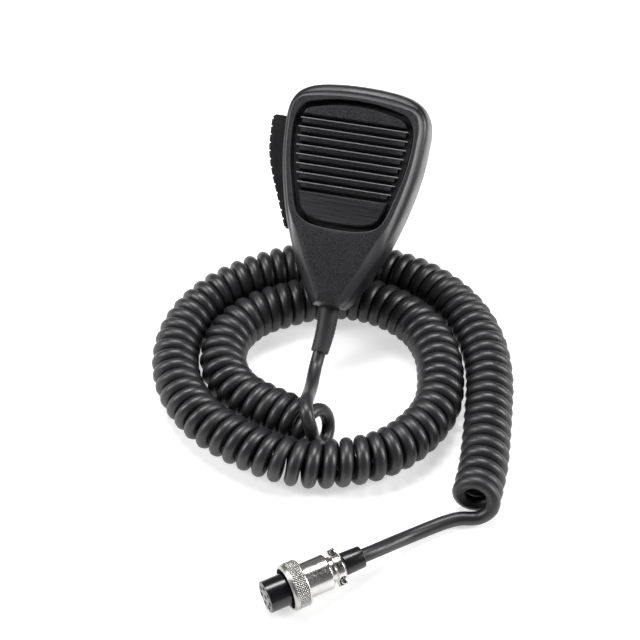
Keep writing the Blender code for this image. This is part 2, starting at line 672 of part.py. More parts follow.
def make_cords():
    """The two straight stretches, and the coiled one as a fat tube with a flat side down."""
    tube("cord_to_mic", curve_through(in_mm(MIC_ROUTE), 20), CORD_RADIUS, 2, RUBBER)
    tube("cord_to_plug", curve_through(in_mm(PLUG_ROUTE), 22), CORD_RADIUS, 2, RUBBER)
    flat_side = math.cos(math.pi / COIL_SIDES)
    route = [(x * MM, y * MM, COIL_RADIUS) for x, y in COIL_ROUTE]
    tube("coiled_cord", curve_through(route, 56), COIL_RADIUS / flat_side, COIL_SIDES // 2 - 2, RUBBER,
         tilt=math.pi / COIL_SIDES)


def contact_places():
    ring = [(CONTACT_CIRCLE * math.cos(math.tau * k / 7 + 0.3), CONTACT_CIRCLE * math.sin(math.tau * k / 7 + 0.3))
            for k in range(7)]
    return ring + [(0, 0)]


def make_insert(plug):
    profile = ((0, 22 * MM), (5.3 * MM, 22 * MM), (5.3 * MM, 14 * MM), (INSERT_RADIUS, 13 * MM),
               (INSERT_RADIUS, 0.4 * MM), (INSERT_RADIUS - 0.4 * MM, 0), (0, 0))
    insert = turned("socket_insert", profile, plug, DARK_PLASTIC)

    def holes(shape):
        for x, y in contact_places():
            made = bmesh.ops.create_cone(shape, cap_ends=True, segments=12, radius1=CONTACT_HOLE,
                                         radius2=CONTACT_HOLE, depth=10 * MM)
            place(shape, made, (x, y, 4 * MM))

    cut(insert, add("contact_holes", mesh_of("contact_holes", holes), plug))
    cut(insert, block("keyway", (INSERT_RADIUS - 0.9 * MM, -0.9 * MM, -1 * MM),
                      (INSERT_RADIUS + 1 * MM, 0.9 * MM, 6.5 * MM), plug))
    for i, spot in enumerate(contact_places()):
        turned(f"socket_contact_{i + 1}", ((CONTACT_RADIUS, 8.6 * MM), (CONTACT_RADIUS, 1 * MM),
                                           (0.3 * MM, 1 * MM), (0.3 * MM, 7 * MM), (0.1 * MM, 8.6 * MM)),
               plug, BRASS, (*spot, 0), 8)


def make_plug_metal(plug):
    ring = ((RING_RADIUS - 0.5 * MM, 14.9 * MM), (RING_RADIUS, 14.4 * MM), (RING_RADIUS, 8.9 * MM),
            (RING_RADIUS - 0.7 * MM, 8.2 * MM), (7.75 * MM, 8.2 * MM), (7.75 * MM, 14 * MM),
            (SHELL_RADIUS + GAP, 14 * MM), (SHELL_RADIUS + GAP, 14.9 * MM))
    turned("coupling_ring", ring, plug, NICKEL)
    shell = ((SHELL_RADIUS - 0.6 * MM, 25.4 * MM), (SHELL_RADIUS, 24.8 * MM), (SHELL_RADIUS, 13.7 * MM),
             (7.4 * MM, 13.7 * MM), (7.4 * MM, 12.7 * MM), (INSERT_RADIUS + GAP, 12.7 * MM),
             (INSERT_RADIUS + GAP, 13.4 * MM), (5.65 * MM, 14.4 * MM), (5.65 * MM, 22.4 * MM),
             (3.6 * MM, 24 * MM), (3.6 * MM, 25.4 * MM))
    turned("plug_shell", shell, plug, NICKEL)


def across_clamp(name, radius, low, high, x, plug, look=None):
    """A bar along a clamp screw's axis, which crosses the plug's own."""
    bar = rod(name, radius, low, high, (0, 0), plug, look, 12)
    bar.location = (x, (low + high) / 2, (CLAMP_LOW + CLAMP_HIGH) / 2)
    bar.rotation_euler = (-math.pi / 2, 0, 0)
    return bar


def make_plug_clamp(plug):
    """The two half collars that grip the cord, and the two screws through their ears."""
    clamp = anchor("clamp_frame", (0, 0, 0), (0, 0, CLAMP_TURN))
    clamp.parent = plug
    profile = ((4.6 * MM, CLAMP_HIGH), (CLAMP_RADIUS, CLAMP_HIGH - 1 * MM),
               (CLAMP_RADIUS, CLAMP_LOW + 0.8 * MM), (4.9 * MM, CLAMP_LOW), (4.9 * MM, 25.7 * MM),
               (3.1 * MM, 25.7 * MM), (3.1 * MM, CLAMP_HIGH))
    for name, side in (("clamp_base", -1), ("clamp_saddle", 1)):
        collar = turned(name, profile, clamp, NICKEL, steps=24)
        join(collar, block(f"{name}_ears", (-EAR_REACH, 0, CLAMP_LOW + 0.5 * MM),
                           (EAR_REACH, side * EAR_HEIGHT, CLAMP_HIGH - 0.8 * MM), clamp))
        cut(collar, rod(f"{name}_bore", 3.3 * MM, 24 * MM, 33 * MM, (0, 0), clamp, sides=24),
            block(f"{name}_half", (-9 * MM, -side * 9 * MM, 24 * MM), (9 * MM, side * GAP / 2, 33 * MM), clamp))
        for k, x in enumerate((-EAR_SCREW, EAR_SCREW)):
            cut(collar, across_clamp(f"{name}_hole_{k}", 0.9 * MM, -3 * MM, 3 * MM, x, clamp))
            if side > 0:
                cut(collar, across_clamp(f"spot_face_{k}", 1.6 * MM, EAR_HEIGHT, 8 * MM, x, clamp))
    top = EAR_HEIGHT + 1.5 * MM
    for k, x in enumerate((-EAR_SCREW, EAR_SCREW)):
        profile = ((0, top), (0.9 * MM, top), (1.3 * MM, top - 0.4 * MM), (1.3 * MM, EAR_HEIGHT + GAP),
                   (0.6 * MM, EAR_HEIGHT + GAP), (0.6 * MM, -1.7 * MM), (0, -1.7 * MM))
        screw = turned(f"clamp_screw_{k + 1}", profile, clamp, STEEL, steps=12)
        screw.location = (x, 0, (CLAMP_LOW + CLAMP_HIGH) / 2)
        screw.rotation_euler = (-math.pi / 2, 0, 0)


def make_plug():
    heading = (math.pi / 2, 0, math.pi / 2 + PLUG_HEADING)
    plug = anchor("plug_frame", PLUG_FACE, heading)
    make_insert(plug)
    make_plug_metal(plug)
    make_plug_clamp(plug)
    sleeve = ((4.2 * MM, 39.4 * MM), (4.4 * MM, CLAMP_HIGH + GAP), (3.05 * MM, CLAMP_HIGH + GAP),
              (3.05 * MM, 39.4 * MM))
    turned("plug_sleeve", sleeve, plug, RUBBER, steps=32)


def main():
    start()
    mic = anchor("microphone_frame", CORD_EXIT, (LEAN, 0, 0))
    mic.scale = (CASE_SCALE,) * 3
    make_front_shell(mic)
    make_rear_cover(mic)
    make_grille(mic)
    make_cartridge(mic)
    make_board(mic)
    make_switch(mic)
    make_case_screws(mic)
    make_hanger_button(mic)
    make_key(mic)
    make_relief(mic)
    make_wires(mic)
    make_cords()
    make_plug()


main()
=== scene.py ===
import math

import bmesh
import bpy
from mathutils import Euler, Matrix, Vector


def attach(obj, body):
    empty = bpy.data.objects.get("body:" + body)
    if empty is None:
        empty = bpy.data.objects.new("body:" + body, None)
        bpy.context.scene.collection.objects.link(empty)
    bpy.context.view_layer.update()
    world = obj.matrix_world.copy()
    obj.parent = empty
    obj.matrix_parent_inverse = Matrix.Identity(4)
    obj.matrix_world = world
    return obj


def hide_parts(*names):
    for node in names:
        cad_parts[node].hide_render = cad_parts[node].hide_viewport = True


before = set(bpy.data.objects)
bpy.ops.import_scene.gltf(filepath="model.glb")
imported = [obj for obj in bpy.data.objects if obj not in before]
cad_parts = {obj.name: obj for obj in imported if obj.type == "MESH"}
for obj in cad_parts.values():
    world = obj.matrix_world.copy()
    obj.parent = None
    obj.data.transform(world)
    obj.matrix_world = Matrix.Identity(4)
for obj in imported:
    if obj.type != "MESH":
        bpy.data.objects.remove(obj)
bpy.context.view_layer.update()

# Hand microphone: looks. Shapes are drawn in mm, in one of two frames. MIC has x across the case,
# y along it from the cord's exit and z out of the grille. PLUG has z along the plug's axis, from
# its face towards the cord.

MM = 0.001
UP = Vector((0, 0, 1))
GAP = 0.3
CORNER_STEPS = 3
SEW_WITHIN = 1e-5

# Camera, fitted to the photograph's view of the object
LOOK_AT = Vector((-6.28, -6.0, 0)) * MM
CAMERA_AZIMUTH = math.radians(12.7)
CAMERA_ELEVATION = math.radians(48)
CAMERA_DISTANCE = 0.7
LENS = 92.53

# Microphone case, with the CAD model's dimensions
CASE_SCALE = 0.93
LEAN = math.radians(42)
CORD_EXIT = Vector((0.5, -18.1, 22.3))
BODY_KNOTS = ((10.2, 3.2), (18, 18.3), (24, 33.5), (28.4, 49), (31.2, 64), (32, 78), (31.4, 86),
              (27.5, 92.6), (20.5, 96), (10, 97.6), (0, 98))
BODY_FOOT = ((0, 0), (7, 0))
OPENING_KNOTS = ((0, 33.5), (9, 34), (15.3, 35.8), (19.2, 39.6), (22, 48), (25.1, 61), (26.3, 73),
                 (25.8, 80.5), (22.6, 85.6), (17.2, 87.6), (9, 89.2), (0, 89.8))
OPENING_CENTRE = Vector((0, 62))
HEAD_DEPTH = 18.5
FRONT_DEPTHS = (11.5, HEAD_DEPTH)
HEAD_BACK = 13
BACK_DEPTHS = (9, HEAD_BACK)
SLOPE = (-12, 39)
NECK = (24, 42)
WALL = 2.2
CAVITY_FOOT = 3
BORE_RADIUS = 4.55
SINK_RADIUS = 2.3

# Each level of a shell: share of the depth, inset on the head's sides, on its top and on the neck
FRONT_WALL = ((0, 0.25, 0.25, 0.25), (0.02, 0, 0, 0), (0.3, 0.25, 0.3, 0.3), (0.5, 0.8, 1.2, 1),
              (0.58, 1.5, 2.6, 1.5), (0.62, 2.3, 4, 1.9), (0.66, 2.8, 4.6, 2.3))
FRONT_BEZEL = ((0.66, 2.8, 4.6, 2.3), (0.8, 3.2, 5.6, 3.4), (0.92, 3.5, 6.5, 4.7),
               (0.985, 3.75, 6.95, 5.9), (1, 4, 7.2, 6.4))
FRONT_CAVITY = ((0, 0, 0, 0), (0.5, 0.9, 1.2, 1), (0.66, 2.8, 4.6, 2.3), (1, 4, 7.2, 6.4))
BACK_WALL = ((0, 0.25, 0.25, 0.25), (0.03, 0, 0, 0), (0.5, 0.2, 0.2, 0.2), (0.72, 0.8, 0.8, 0.7),
             (0.87, 2, 2, 1.5), (0.96, 3.4, 3.4, 2.5), (1, 5, 5, 3.7))
BACK_CAVITY = ((0, 0, 0, 0), (0.72, 0.8, 0.8, 0.7), (0.96, 3.4, 3.4, 2.5), (1, 5, 5, 3.7))

# Grille
SLAT_COUNT = 8
SLAT_PITCH = 3.95
SLAT_GAP = 1.35
SLAT_FOOT = 48.1
PANEL_LOW = 12.5
PANEL_BASE = 14
PANEL_TOP = 17.2
SLAT_BOTTOM = 13.5
LEDGE_LOW = 11.2
LEDGE_WIDTH = 1.5

# Push-to-talk key
KEY_LOW = 31.5
KEY_HIGH = 80.5
KEY_BACK = -6.5
KEY_FRONT = 3.5
KEY_PIVOT = (-17.3, 33)
KEY_STANDS = 2.2
KEY_SWELLS = 4.6
KEY_EDGE = 0.9
KEY_END = 1.6
KEY_STEP = 0.18
GROOVE_PITCH = 3.6
GROOVE_START = 0.9
GROOVE_DEPTH = 0.75
GROOVE_AT = 0.86
GROOVE_HALF = 0.14

SCREW_PLACES = ((24.5, 89.5), (-24.5, 89.5), (10.5, 20), (-10.5, 20))
BUTTON_PLACE = (0, 66)

# Cord: close to the CAD model's route
CORD_RADIUS = 2.7
COIL_HEIGHT = 9.7
TURN_RADIUS = 7.0
COIL_ROUTE = ((-3.5, -68), (-12.5, -65.7), (-27, -59.9), (-36.8, -48.4), (-38.8, -33.2),
              (-32.2, -19), (-20, -9.2), (-6.5, -1.7), (8.5, 0.8), (23.5, -1.7), (37, -9.2),
              (46, -21.2), (50.5, -36.2), (51, -51.2), (45, -65.7), (35, -77.2), (21.5, -84.7),
              (6.5, -88.7), (-8.5, -87.7), (-23.5, -83.2), (-37, -76.7), (-48.5, -66.2),
              (-56, -52.7), (-58.5, -37.7), (-56, -22.7), (-49, -9.2), (-38.5, 1.8), (-26, 10.8),
              (-12, 17.8), (3, 20.8), (18, 19.8), (33, 16.3), (46.5, 8.8), (57.5, -2.2),
              (65, -15.2), (69.5, -30.2), (71.5, -45.2), (73, -60.7), (74, -75.7), (73.5, -92.4))
MIC_ROUTE = ((0.5, -9.55, 29.99), (0.5, -18.1, 22.3), (0.3, -25.5, 15.6), (-0.5, -31.5, 10.6),
             (-1, -36.8, 7.4), (-0.8, -42.2, 6.9), (-0.2, -48, 8.2), (0.5, -54.5, 11.6),
             (1.3, -61.2, 16.6), (2.2, -68, 21.4), (3.8, -74.4, 22.8), (6.2, -77.5, 17.4))
PLUG_ROUTE = ((68.8, -96.2, 2.75), (64, -98.8, 2.75), (58.5, -102.9, 2.8), (51.5, -109, 3.5),
              (46.5, -114.3, 5.2), (41.6, -120.2, 7.6), (36.87, -125.06, 8.95), (31.5, -129.5, 9),
              (26.46, -133.65, 9))
PACKED_PITCH = 5.45
OPEN_PITCH = 6.1
LEFT_PITCH = 0.4

# Plug
PLUG_FACE = Vector((6, -150.5, 9))
PLUG_TURN = Euler((math.pi / 2, 0, math.radians(129.5)))
RING_RADIUS = 8.9
SHELL_RADIUS = 6.85
INSERT_RADIUS = 6.1
CONTACT_CIRCLE = 3.9
CONTACT_HOLE = 0.9
CLAMP_RADIUS = 5.7
CLAMP_TURN = math.radians(30)
CLAMP_LOW = 26.9
CLAMP_HIGH = 31.2
EAR_REACH = 7.1
EAR_HEIGHT = 2
EAR_SCREW = 5.7

MIC = Matrix.Translation(CORD_EXIT * MM) @ Matrix.Rotation(LEAN, 4, "X") @ Matrix.Scale(
    MM * CASE_SCALE, 4)
PLUG = Matrix.Translation(PLUG_FACE * MM) @ PLUG_TURN.to_matrix().to_4x4() @ Matrix.Scale(MM, 4)
CLAMP = PLUG @ Matrix.Rotation(CLAMP_TURN, 4, "Z")


# ---- small geometry helpers

def ease(value, low, high):
    t = min(1, max(0, (value - low) / (high - low)))
    return t * t * (3 - 2 * t)


def distances(points):
    """How far along the line through the points each of them lies."""
    run = [0]
    for a, b in zip(points, points[1:]):
        run.append(run[-1] + (b - a).length)
    return run


def locate(values, want, at):
    """The span between rising values that holds the one wanted, from a span on, and how far along
    it that one lies."""
    while at < len(values) - 2 and values[at + 1] < want:
        at += 1
    return at, (want - values[at]) / max(values[at + 1] - values[at], 1e-9)


def even(points, count):
    """The same line, as count points spaced evenly along it."""
    run = distances(points)
    found = []
    at = 0
    for k in range(count):
        at, share = locate(run, run[-1] * k / (count - 1), at)
        found.append(points[at].lerp(points[at + 1], share))
    return found


def smooth_line(knots, steps=24):
    """Points of the smooth curve through the knots."""
    knots = [Vector(k) for k in knots]
    ends = [2 * knots[0] - knots[1]] + knots + [2 * knots[-1] - knots[-2]]
    fine = []
    for a, b, c, d in zip(ends, ends[1:], ends[2:], ends[3:]):
        for step in range(steps):
            t = step / steps
            fine.append((2 * b + (c - a) * t + (2 * a - 5 * b + 4 * c - d) * t ** 2
                         + (3 * b - a - 3 * c + d) * t ** 3) / 2)
    fine.append(knots[-1])
    return fine


def curve_through(knots, count):
    return even(smooth_line(knots), count)


def rounded(profile, radius, closed=True):
    """A profile with each corner replaced by a small curve, where its sides leave room for it."""
    points = [Vector(p) for p in profile]
    found = []
    for i, corner in enumerate(points):
        if not closed and i in (0, len(points) - 1):
            found.append(corner)
            continue
        before, after = points[i - 1], points[(i + 1) % len(points)]
        reach = min(radius, (before - corner).length * 0.45, (after - corner).length * 0.45)
        start = corner + (before - corner).normalized() * reach
        end = corner + (after - corner).normalized() * reach
        for k in range(CORNER_STEPS + 1):
            t = k / CORNER_STEPS
            found.append((1 - t) ** 2 * start + 2 * t * (1 - t) * corner + t * t * end)
    return found


def link(thing):
    bpy.context.scene.collection.objects.link(thing)
    return thing


def skin(shape, rows, looped=False, bare=()):
    """The faces from each row of points to the next. Each row closes on itself, and has no face at
    its bare places."""
    made = []
    for a, b in zip(rows, rows[1:] + (rows[:1] if looped else [])):
        for i in range(len(a)):
            j = (i + 1) % len(a)
            if i not in bare:
                made.append(shape.faces.new((a[i], a[j], b[j], b[i])))
    return made


def face_out(shape):
    bmesh.ops.recalc_face_normals(shape, faces=shape.faces)


def sew(shape):
    """Joins the points that lie on each other and turns the faces outwards."""
    bmesh.ops.remove_doubles(shape, verts=shape.verts, dist=SEW_WITHIN)
    face_out(shape)


def lathe(profile, steps=96, ripple=None):
    """A closed (radius, height) profile turned about z, with an optional ripple on its radius."""
    shape = bmesh.new()
    profile = [Vector(p) for p in profile]
    rows = []
    for k in range(steps):
        turn = math.tau * k / steps
        row = []
        for radius, height in profile:
            reach = radius + (ripple(turn, radius, height) if ripple else 0)
            row.append(shape.verts.new((reach * math.cos(turn), reach * math.sin(turn), height)))
        rows.append(row)
    pairs = zip(profile, profile[1:] + profile[:1])
    on_axis = {i for i, (a, b) in enumerate(pairs) if a[0] <= 0 and b[0] <= 0}
    skin(shape, rows, True, on_axis)
    sew(shape)
    return shape


def shifted(shape, x, y, z=0):
    bmesh.ops.translate(shape, vec=(x, y, z), verts=shape.verts)
    return shape


def box_shape(low, high):
    shape = bmesh.new()
    made = bmesh.ops.create_cube(shape, size=1)
    size = Vector(abs(b - a) for a, b in zip(low, high))
    bmesh.ops.scale(shape, vec=size, verts=made["verts"])
    return shifted(shape, *(Vector(low) + Vector(high)) / 2)


def rod_shape(radius, low, high, place=(0, 0), sides=48):
    shape = bmesh.new()
    bmesh.ops.create_cone(shape, cap_ends=True, segments=sides, radius1=radius, radius2=radius,
                          depth=high - low)
    return shifted(shape, *place, (low + high) / 2)


def slab_shape(outline, low, high):
    """A flat closed outline given a thickness along z."""
    shape = bmesh.new()
    rows = [[shape.verts.new((x, y, z)) for x, y in outline] for z in (low, high)]
    for row in rows:
        shape.faces.new(row)
    skin(shape, rows)
    face_out(shape)
    return shape


def rounded_edge(edge, steps):
    """How far in and how far up each step over a rounded edge lies."""
    turns = [math.pi / 2 * k / steps for k in range(steps + 1)]
    return [(edge * (1 - math.cos(t)), edge * math.sin(t)) for t in turns]


def along_y(shape):
    """The same shape, turned about x so that its z axis points along y."""
    bmesh.ops.rotate(shape, cent=(0, 0, 0), matrix=Matrix.Rotation(-math.pi / 2, 3, "X"),
                     verts=shape.verts)
    return shape


def cross_cuts(place, long, short, low, high):
    """The two boxes that cut a cross into a screw's head."""
    x, y = place
    return [box_shape((x - a, y - b, low), (x + a, y + b, high))
            for a, b in ((long, short), (short, long))]


def raw(name, shape, space):
    """An object for a bmesh in mm, its mesh already in the frame's metres."""
    bmesh.ops.transform(shape, matrix=space, verts=shape.verts)
    data = bpy.data.meshes.new(name)
    shape.to_mesh(data)
    shape.free()
    return link(bpy.data.objects.new(name, data))


def applied(thing):
    """The same object with its modifiers made part of its mesh."""
    graph = bpy.context.evaluated_depsgraph_get()
    data = bpy.data.meshes.new_from_object(thing.evaluated_get(graph), depsgraph=graph)
    old = thing.data
    thing.modifiers.clear()
    thing.data = data
    bpy.data.meshes.remove(old)
    return thing


def carve(target, operation, space, *shapes):
    """Cuts shapes out of an object, or joins them to it, and removes the helpers."""
    helpers = []
    for i, shape in enumerate(shapes):
        helper = raw(f"{target.name}_helper_{i}", shape, space)
        step = target.modifiers.new(helper.name, "BOOLEAN")
        step.operation = operation
        step.object = helper
        step.solver = "EXACT"
        helpers.append(helper)
    applied(target)
    for helper in helpers:
        bpy.data.objects.remove(helper)


def melt(thing, voxel, rounds):
    """Remeshes a shape in mm finely and smooths it, since a stamped piece has no sharp edge."""
    grid = thing.modifiers.new("voxels", "REMESH")
    grid.mode = "VOXEL"
    grid.voxel_size = voxel
    even_out = thing.modifiers.new("smoothed", "SMOOTH")
    even_out.factor = 0.5
    even_out.iterations = rounds
    return applied(thing)


def show(thing, node, looks, sharp=35, body="case"):
    """Gives a piece its materials, its shading and its body, and hides the CAD node that it stands
    for.
    """
    data = thing.data
    numbers = [face.material_index for face in data.polygons]
    data.materials.clear()
    for look in looks:
        data.materials.append(LOOKS[look])
    data.polygons.foreach_set("material_index", [min(n, len(looks) - 1) for n in numbers])
    data.shade_smooth()
    data.set_sharp_from_angle(angle=math.radians(sharp))
    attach(thing, body)
    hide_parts(node)
    return thing


def piece(node, shape, space, look, sharp=35, body="case"):
    """A whole piece from one shape, in one material."""
    return show(raw(f"{node}_looks", shape, space), node, [look], sharp, body)


# ---- materials

def map_range(tree, value, *limits):
    """Maps a value from between the first two limits to between the last two."""
    step = tree.nodes.new("ShaderNodeMapRange")
    for name, limit in zip(("From Min", "From Max", "To Min", "To Max"), limits):
        step.inputs[name].default_value = limit
    tree.links.new(value, step.inputs["Value"])
    return step.outputs["Result"]


class Look:
    """A Principled material whose nodes are added one by one."""

    def __init__(self, name, roughness=0.5, metallic=0.0, **sockets):
        self.material = bpy.data.materials.new(name)
        self.material.use_nodes = True
        self.tree = self.material.node_tree
        self.links = self.tree.links
        self.shader = self.tree.nodes["Principled BSDF"]
        self.shader.inputs["Roughness"].default_value = roughness
        self.shader.inputs["Metallic"].default_value = metallic
        for socket, value in sockets.items():
            self.shader.inputs[socket.replace("_", " ")].default_value = value
        self.place = self.add("TexCoord").outputs["Object"]

    def add(self, kind, **values):
        node = self.tree.nodes.new("ShaderNode" + kind)
        for socket, value in values.items():
            node.inputs[socket].default_value = value
        return node

    def noise(self, size_mm, detail, stretch=(1, 1, 1)):
        """Noise with features of about a size, drawn out along an axis by its stretch."""
        mapping = self.add("Mapping", Scale=[1 / s for s in stretch])
        self.links.new(self.place, mapping.inputs["Vector"])
        noise = self.add("TexNoise", Scale=1 / (size_mm * MM), Detail=detail)
        self.links.new(mapping.outputs["Vector"], noise.inputs["Vector"])
        return noise.outputs["Fac"]

    def cells(self, size_mm):
        cells = self.add("TexVoronoi", Scale=1 / (size_mm * MM))
        self.links.new(self.place, cells.inputs["Vector"])
        return cells.outputs["Distance"]

    def edges(self):
        """How convex the surface is, which picks out edges and ridges."""
        return self.add("NewGeometry").outputs["Pointiness"]

    def spread(self, value, low, high, to_low=0, to_high=1):
        return map_range(self.tree, value, low, high, to_low, to_high)

    def mixed(self, share, first, second):
        """A colour between two, each a colour or another node's output."""
        mix = self.add("Mix")
        mix.data_type = "RGBA"
        self.links.new(share, mix.inputs["Factor"])
        for socket, colour in ((mix.inputs[6], first), (mix.inputs[7], second)):
            if isinstance(colour, tuple):
                socket.default_value = (*colour, 1)
            else:
                self.links.new(colour, socket)
        return mix.outputs[2]

    def colour(self, output):
        self.links.new(output, self.shader.inputs["Base Color"])

    def rough(self, output):
        self.links.new(output, self.shader.inputs["Roughness"])

    def bump(self, height, depth_mm, under=None):
        bump = self.add("Bump", Strength=1, Distance=depth_mm * MM)
        self.links.new(height, bump.inputs["Height"])
        if under:
            self.links.new(under, bump.inputs["Normal"])
        self.links.new(bump.outputs["Normal"], self.shader.inputs["Normal"])
        return bump.outputs["Normal"]


def moulded(name, dark, light, edge, rough, grain_mm, grain_depth, patch_mm, shine):
    """Moulded plastic or rubber: a fine grain, faint patches of shine and a painted highlight
    along its convex edges. Each colour is a grey's level and its blue; the edge colour is the
    painted highlight."""
    dark, light, edge = ((level, level, blue) for level, blue in (dark, light, edge))
    made = Look(name, Specular_IOR_Level=shine)
    grain = made.noise(grain_mm, 4)
    body = made.mixed(made.spread(grain, 0.3, 0.7), dark, light)
    # The edge colour is a painted highlight: lighter than the plastic, laid on its convex edges
    made.colour(made.mixed(made.spread(made.edges(), 0.52, 0.62, 0, 0.8), body, edge))
    made.rough(made.spread(made.noise(patch_mm, 2), 0.3, 0.7, rough - 0.05, rough + 0.06))
    lump = made.bump(made.noise(grain_mm * 4, 2), grain_depth * 0.5)
    made.bump(grain, grain_depth, lump)
    return made.material


def metal(name, dark, light, rough):
    """Plated or plain metal with faint scratches and uneven shine."""
    made = Look(name, metallic=1.0)
    scratch = made.noise(0.6, 3)
    made.colour(made.mixed(made.spread(made.noise(6, 2), 0.3, 0.7), dark, light))
    made.rough(made.spread(scratch, 0.3, 0.7, rough * 0.7, rough * 1.4))
    made.bump(scratch, 0.002)
    return made.material


def knurled_look():
    """The coupling ring's nickel, darker and duller in the grooves of its knurl and lighter on its
    ridges.
    """
    made = Look("knurled_nickel", metallic=1.0)
    # Darker and rougher where the surface is less convex, in the knurl's grooves
    on_ridges = made.spread(made.edges(), 0.46, 0.56)
    made.colour(made.mixed(on_ridges, (0.10, 0.10, 0.095), (0.66, 0.65, 0.62)))
    made.rough(made.spread(made.edges(), 0.46, 0.56, 0.5, 0.24))
    made.bump(made.noise(0.4, 2), 0.003)
    return made.material


def brushed_label():
    made = Look("brushed_label", metallic=0.55)
    streaks = made.noise(0.35, 3, (60, 1, 1))
    body = made.mixed(made.spread(streaks, 0.3, 0.7), (0.018, 0.018, 0.021), (0.048, 0.048, 0.053))
    made.colour(made.mixed(made.spread(made.edges(), 0.52, 0.6), body, (0.2, 0.2, 0.21)))
    made.rough(made.spread(streaks, 0.3, 0.7, 0.34, 0.5))
    made.bump(streaks, 0.006)
    return made.material


def felt_look():
    made = Look("acoustic_felt", roughness=0.95)
    fibres = made.noise(0.18, 6)
    made.colour(made.mixed(fibres, (0.003, 0.003, 0.003), (0.014, 0.014, 0.015)))
    made.bump(fibres, 0.08)
    return made.material


def board_look():
    """Green solder mask over copper that shows as faint lighter tracks."""
    made = Look("solder_mask", roughness=0.35)
    tracks = made.spread(made.cells(2.4), 0.35, 0.38)
    made.colour(made.mixed(tracks, (0.010, 0.075, 0.030), (0.022, 0.130, 0.055)))
    made.bump(tracks, 0.02)
    return made.material


# What moulded() is given for each look. Each row's third colour is a painted highlight on convex
# edges.
MOULDED = {
    "shell": ("textured_plastic", (0.003, 0.0035), (0.013, 0.0145), (0.03, 0.033),
              0.34, 0.5, 0.07, 9, 0.32),
    "bezel": ("satin_plastic", (0.017, 0.019), (0.022, 0.025), (0.04, 0.044),
              0.34, 0.4, 0.02, 9, 0.5),
    "rim": ("rough_plastic", (0.001, 0.0015), (0.034, 0.037), (0.10, 0.11),
            0.45, 0.5, 0.08, 9, 0.35),
    "grille": ("coarse_plastic", (0.001, 0.0015), (0.032, 0.035), (0.08, 0.085),
               0.5, 0.5, 0.12, 9, 0.15),
    # lip: the grille's dark plastic drawn light grey, a painted highlight along the slats' top
    # lips
    "lip": ("lip_painted_highlight", (0.06, 0.065), (0.20, 0.21), (0.30, 0.31),
            0.45, 0.45, 0.05, 9, 0.5),
    "key": ("key_plastic", (0.003, 0.004), (0.005, 0.006), (0.02, 0.022),
            0.42, 0.3, 0.008, 9, 0.25),
    "cord": ("cord_rubber", (0.007, 0.0085), (0.010, 0.0115), (0.016, 0.018),
             0.42, 0.5, 0.006, 14, 0.55),
    "relief": ("relief_rubber", (0.014, 0.016), (0.022, 0.024), (0.04, 0.043),
               0.55, 0.4, 0.02, 9, 0.5),
    "sleeve": ("sleeve_rubber", (0.003, 0.004), (0.005, 0.006), (0.015, 0.016),
               0.25, 0.6, 0.006, 9, 0.5),
    "insert": ("insert_plastic", (0.003, 0.004), (0.004, 0.005), (0.03, 0.033),
               0.2, 0.5, 0.004, 9, 0.5),
    # channel: the shell's plastic made darker and duller, painted shade in the opening's recess
    # and on the panel behind the slats
    "shaded_channel": ("channel_painted_shade", (0.002, 0.0025), (0.003, 0.0035), (0.004, 0.0045),
                0.75, 0.3, 0.02, 9, 0.5),
    "inner": ("inner_plastic", (0.010, 0.011), (0.016, 0.017), (0.04, 0.04),
              0.5, 0.4, 0.01, 9, 0.5),
    "boot": ("inner_rubber", (0.012, 0.012), (0.020, 0.020), (0.04, 0.04),
             0.7, 0.4, 0.02, 9, 0.5),
}
LOOKS = {key: moulded(*row) for key, row in MOULDED.items()} | {
    "nickel": metal("nickel", (0.50, 0.49, 0.47), (0.60, 0.59, 0.57), 0.2),
    "knurled": knurled_look(),
    "steel": metal("steel", (0.42, 0.42, 0.42), (0.56, 0.56, 0.56), 0.3),
    "brass": metal("contact_brass", (0.65, 0.45, 0.18), (0.80, 0.60, 0.28), 0.28),
    "label": brushed_label(),
    "felt": felt_look(),
    "board": board_look(),
}

# The CAD nodes that stay as they are, by material
KEPT_NODES = {
    "steel": ("mic_cartridge", "board_screw_1", "board_screw_2", "ptt_pivot_pin", "ptt_spring",
              "cord_clamp"),
    "boot": ("cartridge_boot", "switch_plunger", "wire_bundle"),
    "inner": ("preamp_chip", "ptt_switch"),
    "felt": ("dust_screen",),
    "board": ("circuit_board",),
}


# ---- camera and stage

def make_camera():
    camera = link(bpy.data.objects.new("camera", bpy.data.cameras.new("camera")))
    flat = math.cos(CAMERA_ELEVATION)
    way = Vector((math.sin(CAMERA_AZIMUTH) * flat, -math.cos(CAMERA_AZIMUTH) * flat,
                  math.sin(CAMERA_ELEVATION)))
    camera.location = LOOK_AT + way * CAMERA_DISTANCE
    camera.rotation_euler = (-way).to_track_quat("-Z", "Y").to_euler()
    camera.data.lens = LENS
    camera.data.sensor_width = 36
    camera.data.clip_start = 0.01
    bpy.context.scene.camera = camera


WORLD_LIGHT = 0.3
FLOOR_GLOW = 0.55
# Name, place and size in m, and power
SOFTBOXES = (("overhead_box", (-0.15, 0.35, 1.1), (0.75, 0.35), 16),
             ("left_box", (-1.0, -0.3, 0.7), (0.3, 0.7), 11),
             ("right_box", (1.0, 0.1, 0.6), (0.25, 0.8), 13))


def softbox(name, place, size, power):
    light = bpy.data.lights.new(name, "AREA")
    light.shape = "RECTANGLE"
    light.size, light.size_y = size
    light.energy = power
    lamp = link(bpy.data.objects.new(name, light))
    lamp.location = place
    lamp.rotation_euler = (LOOK_AT - Vector(place)).to_track_quat("-Z", "Y").to_euler()


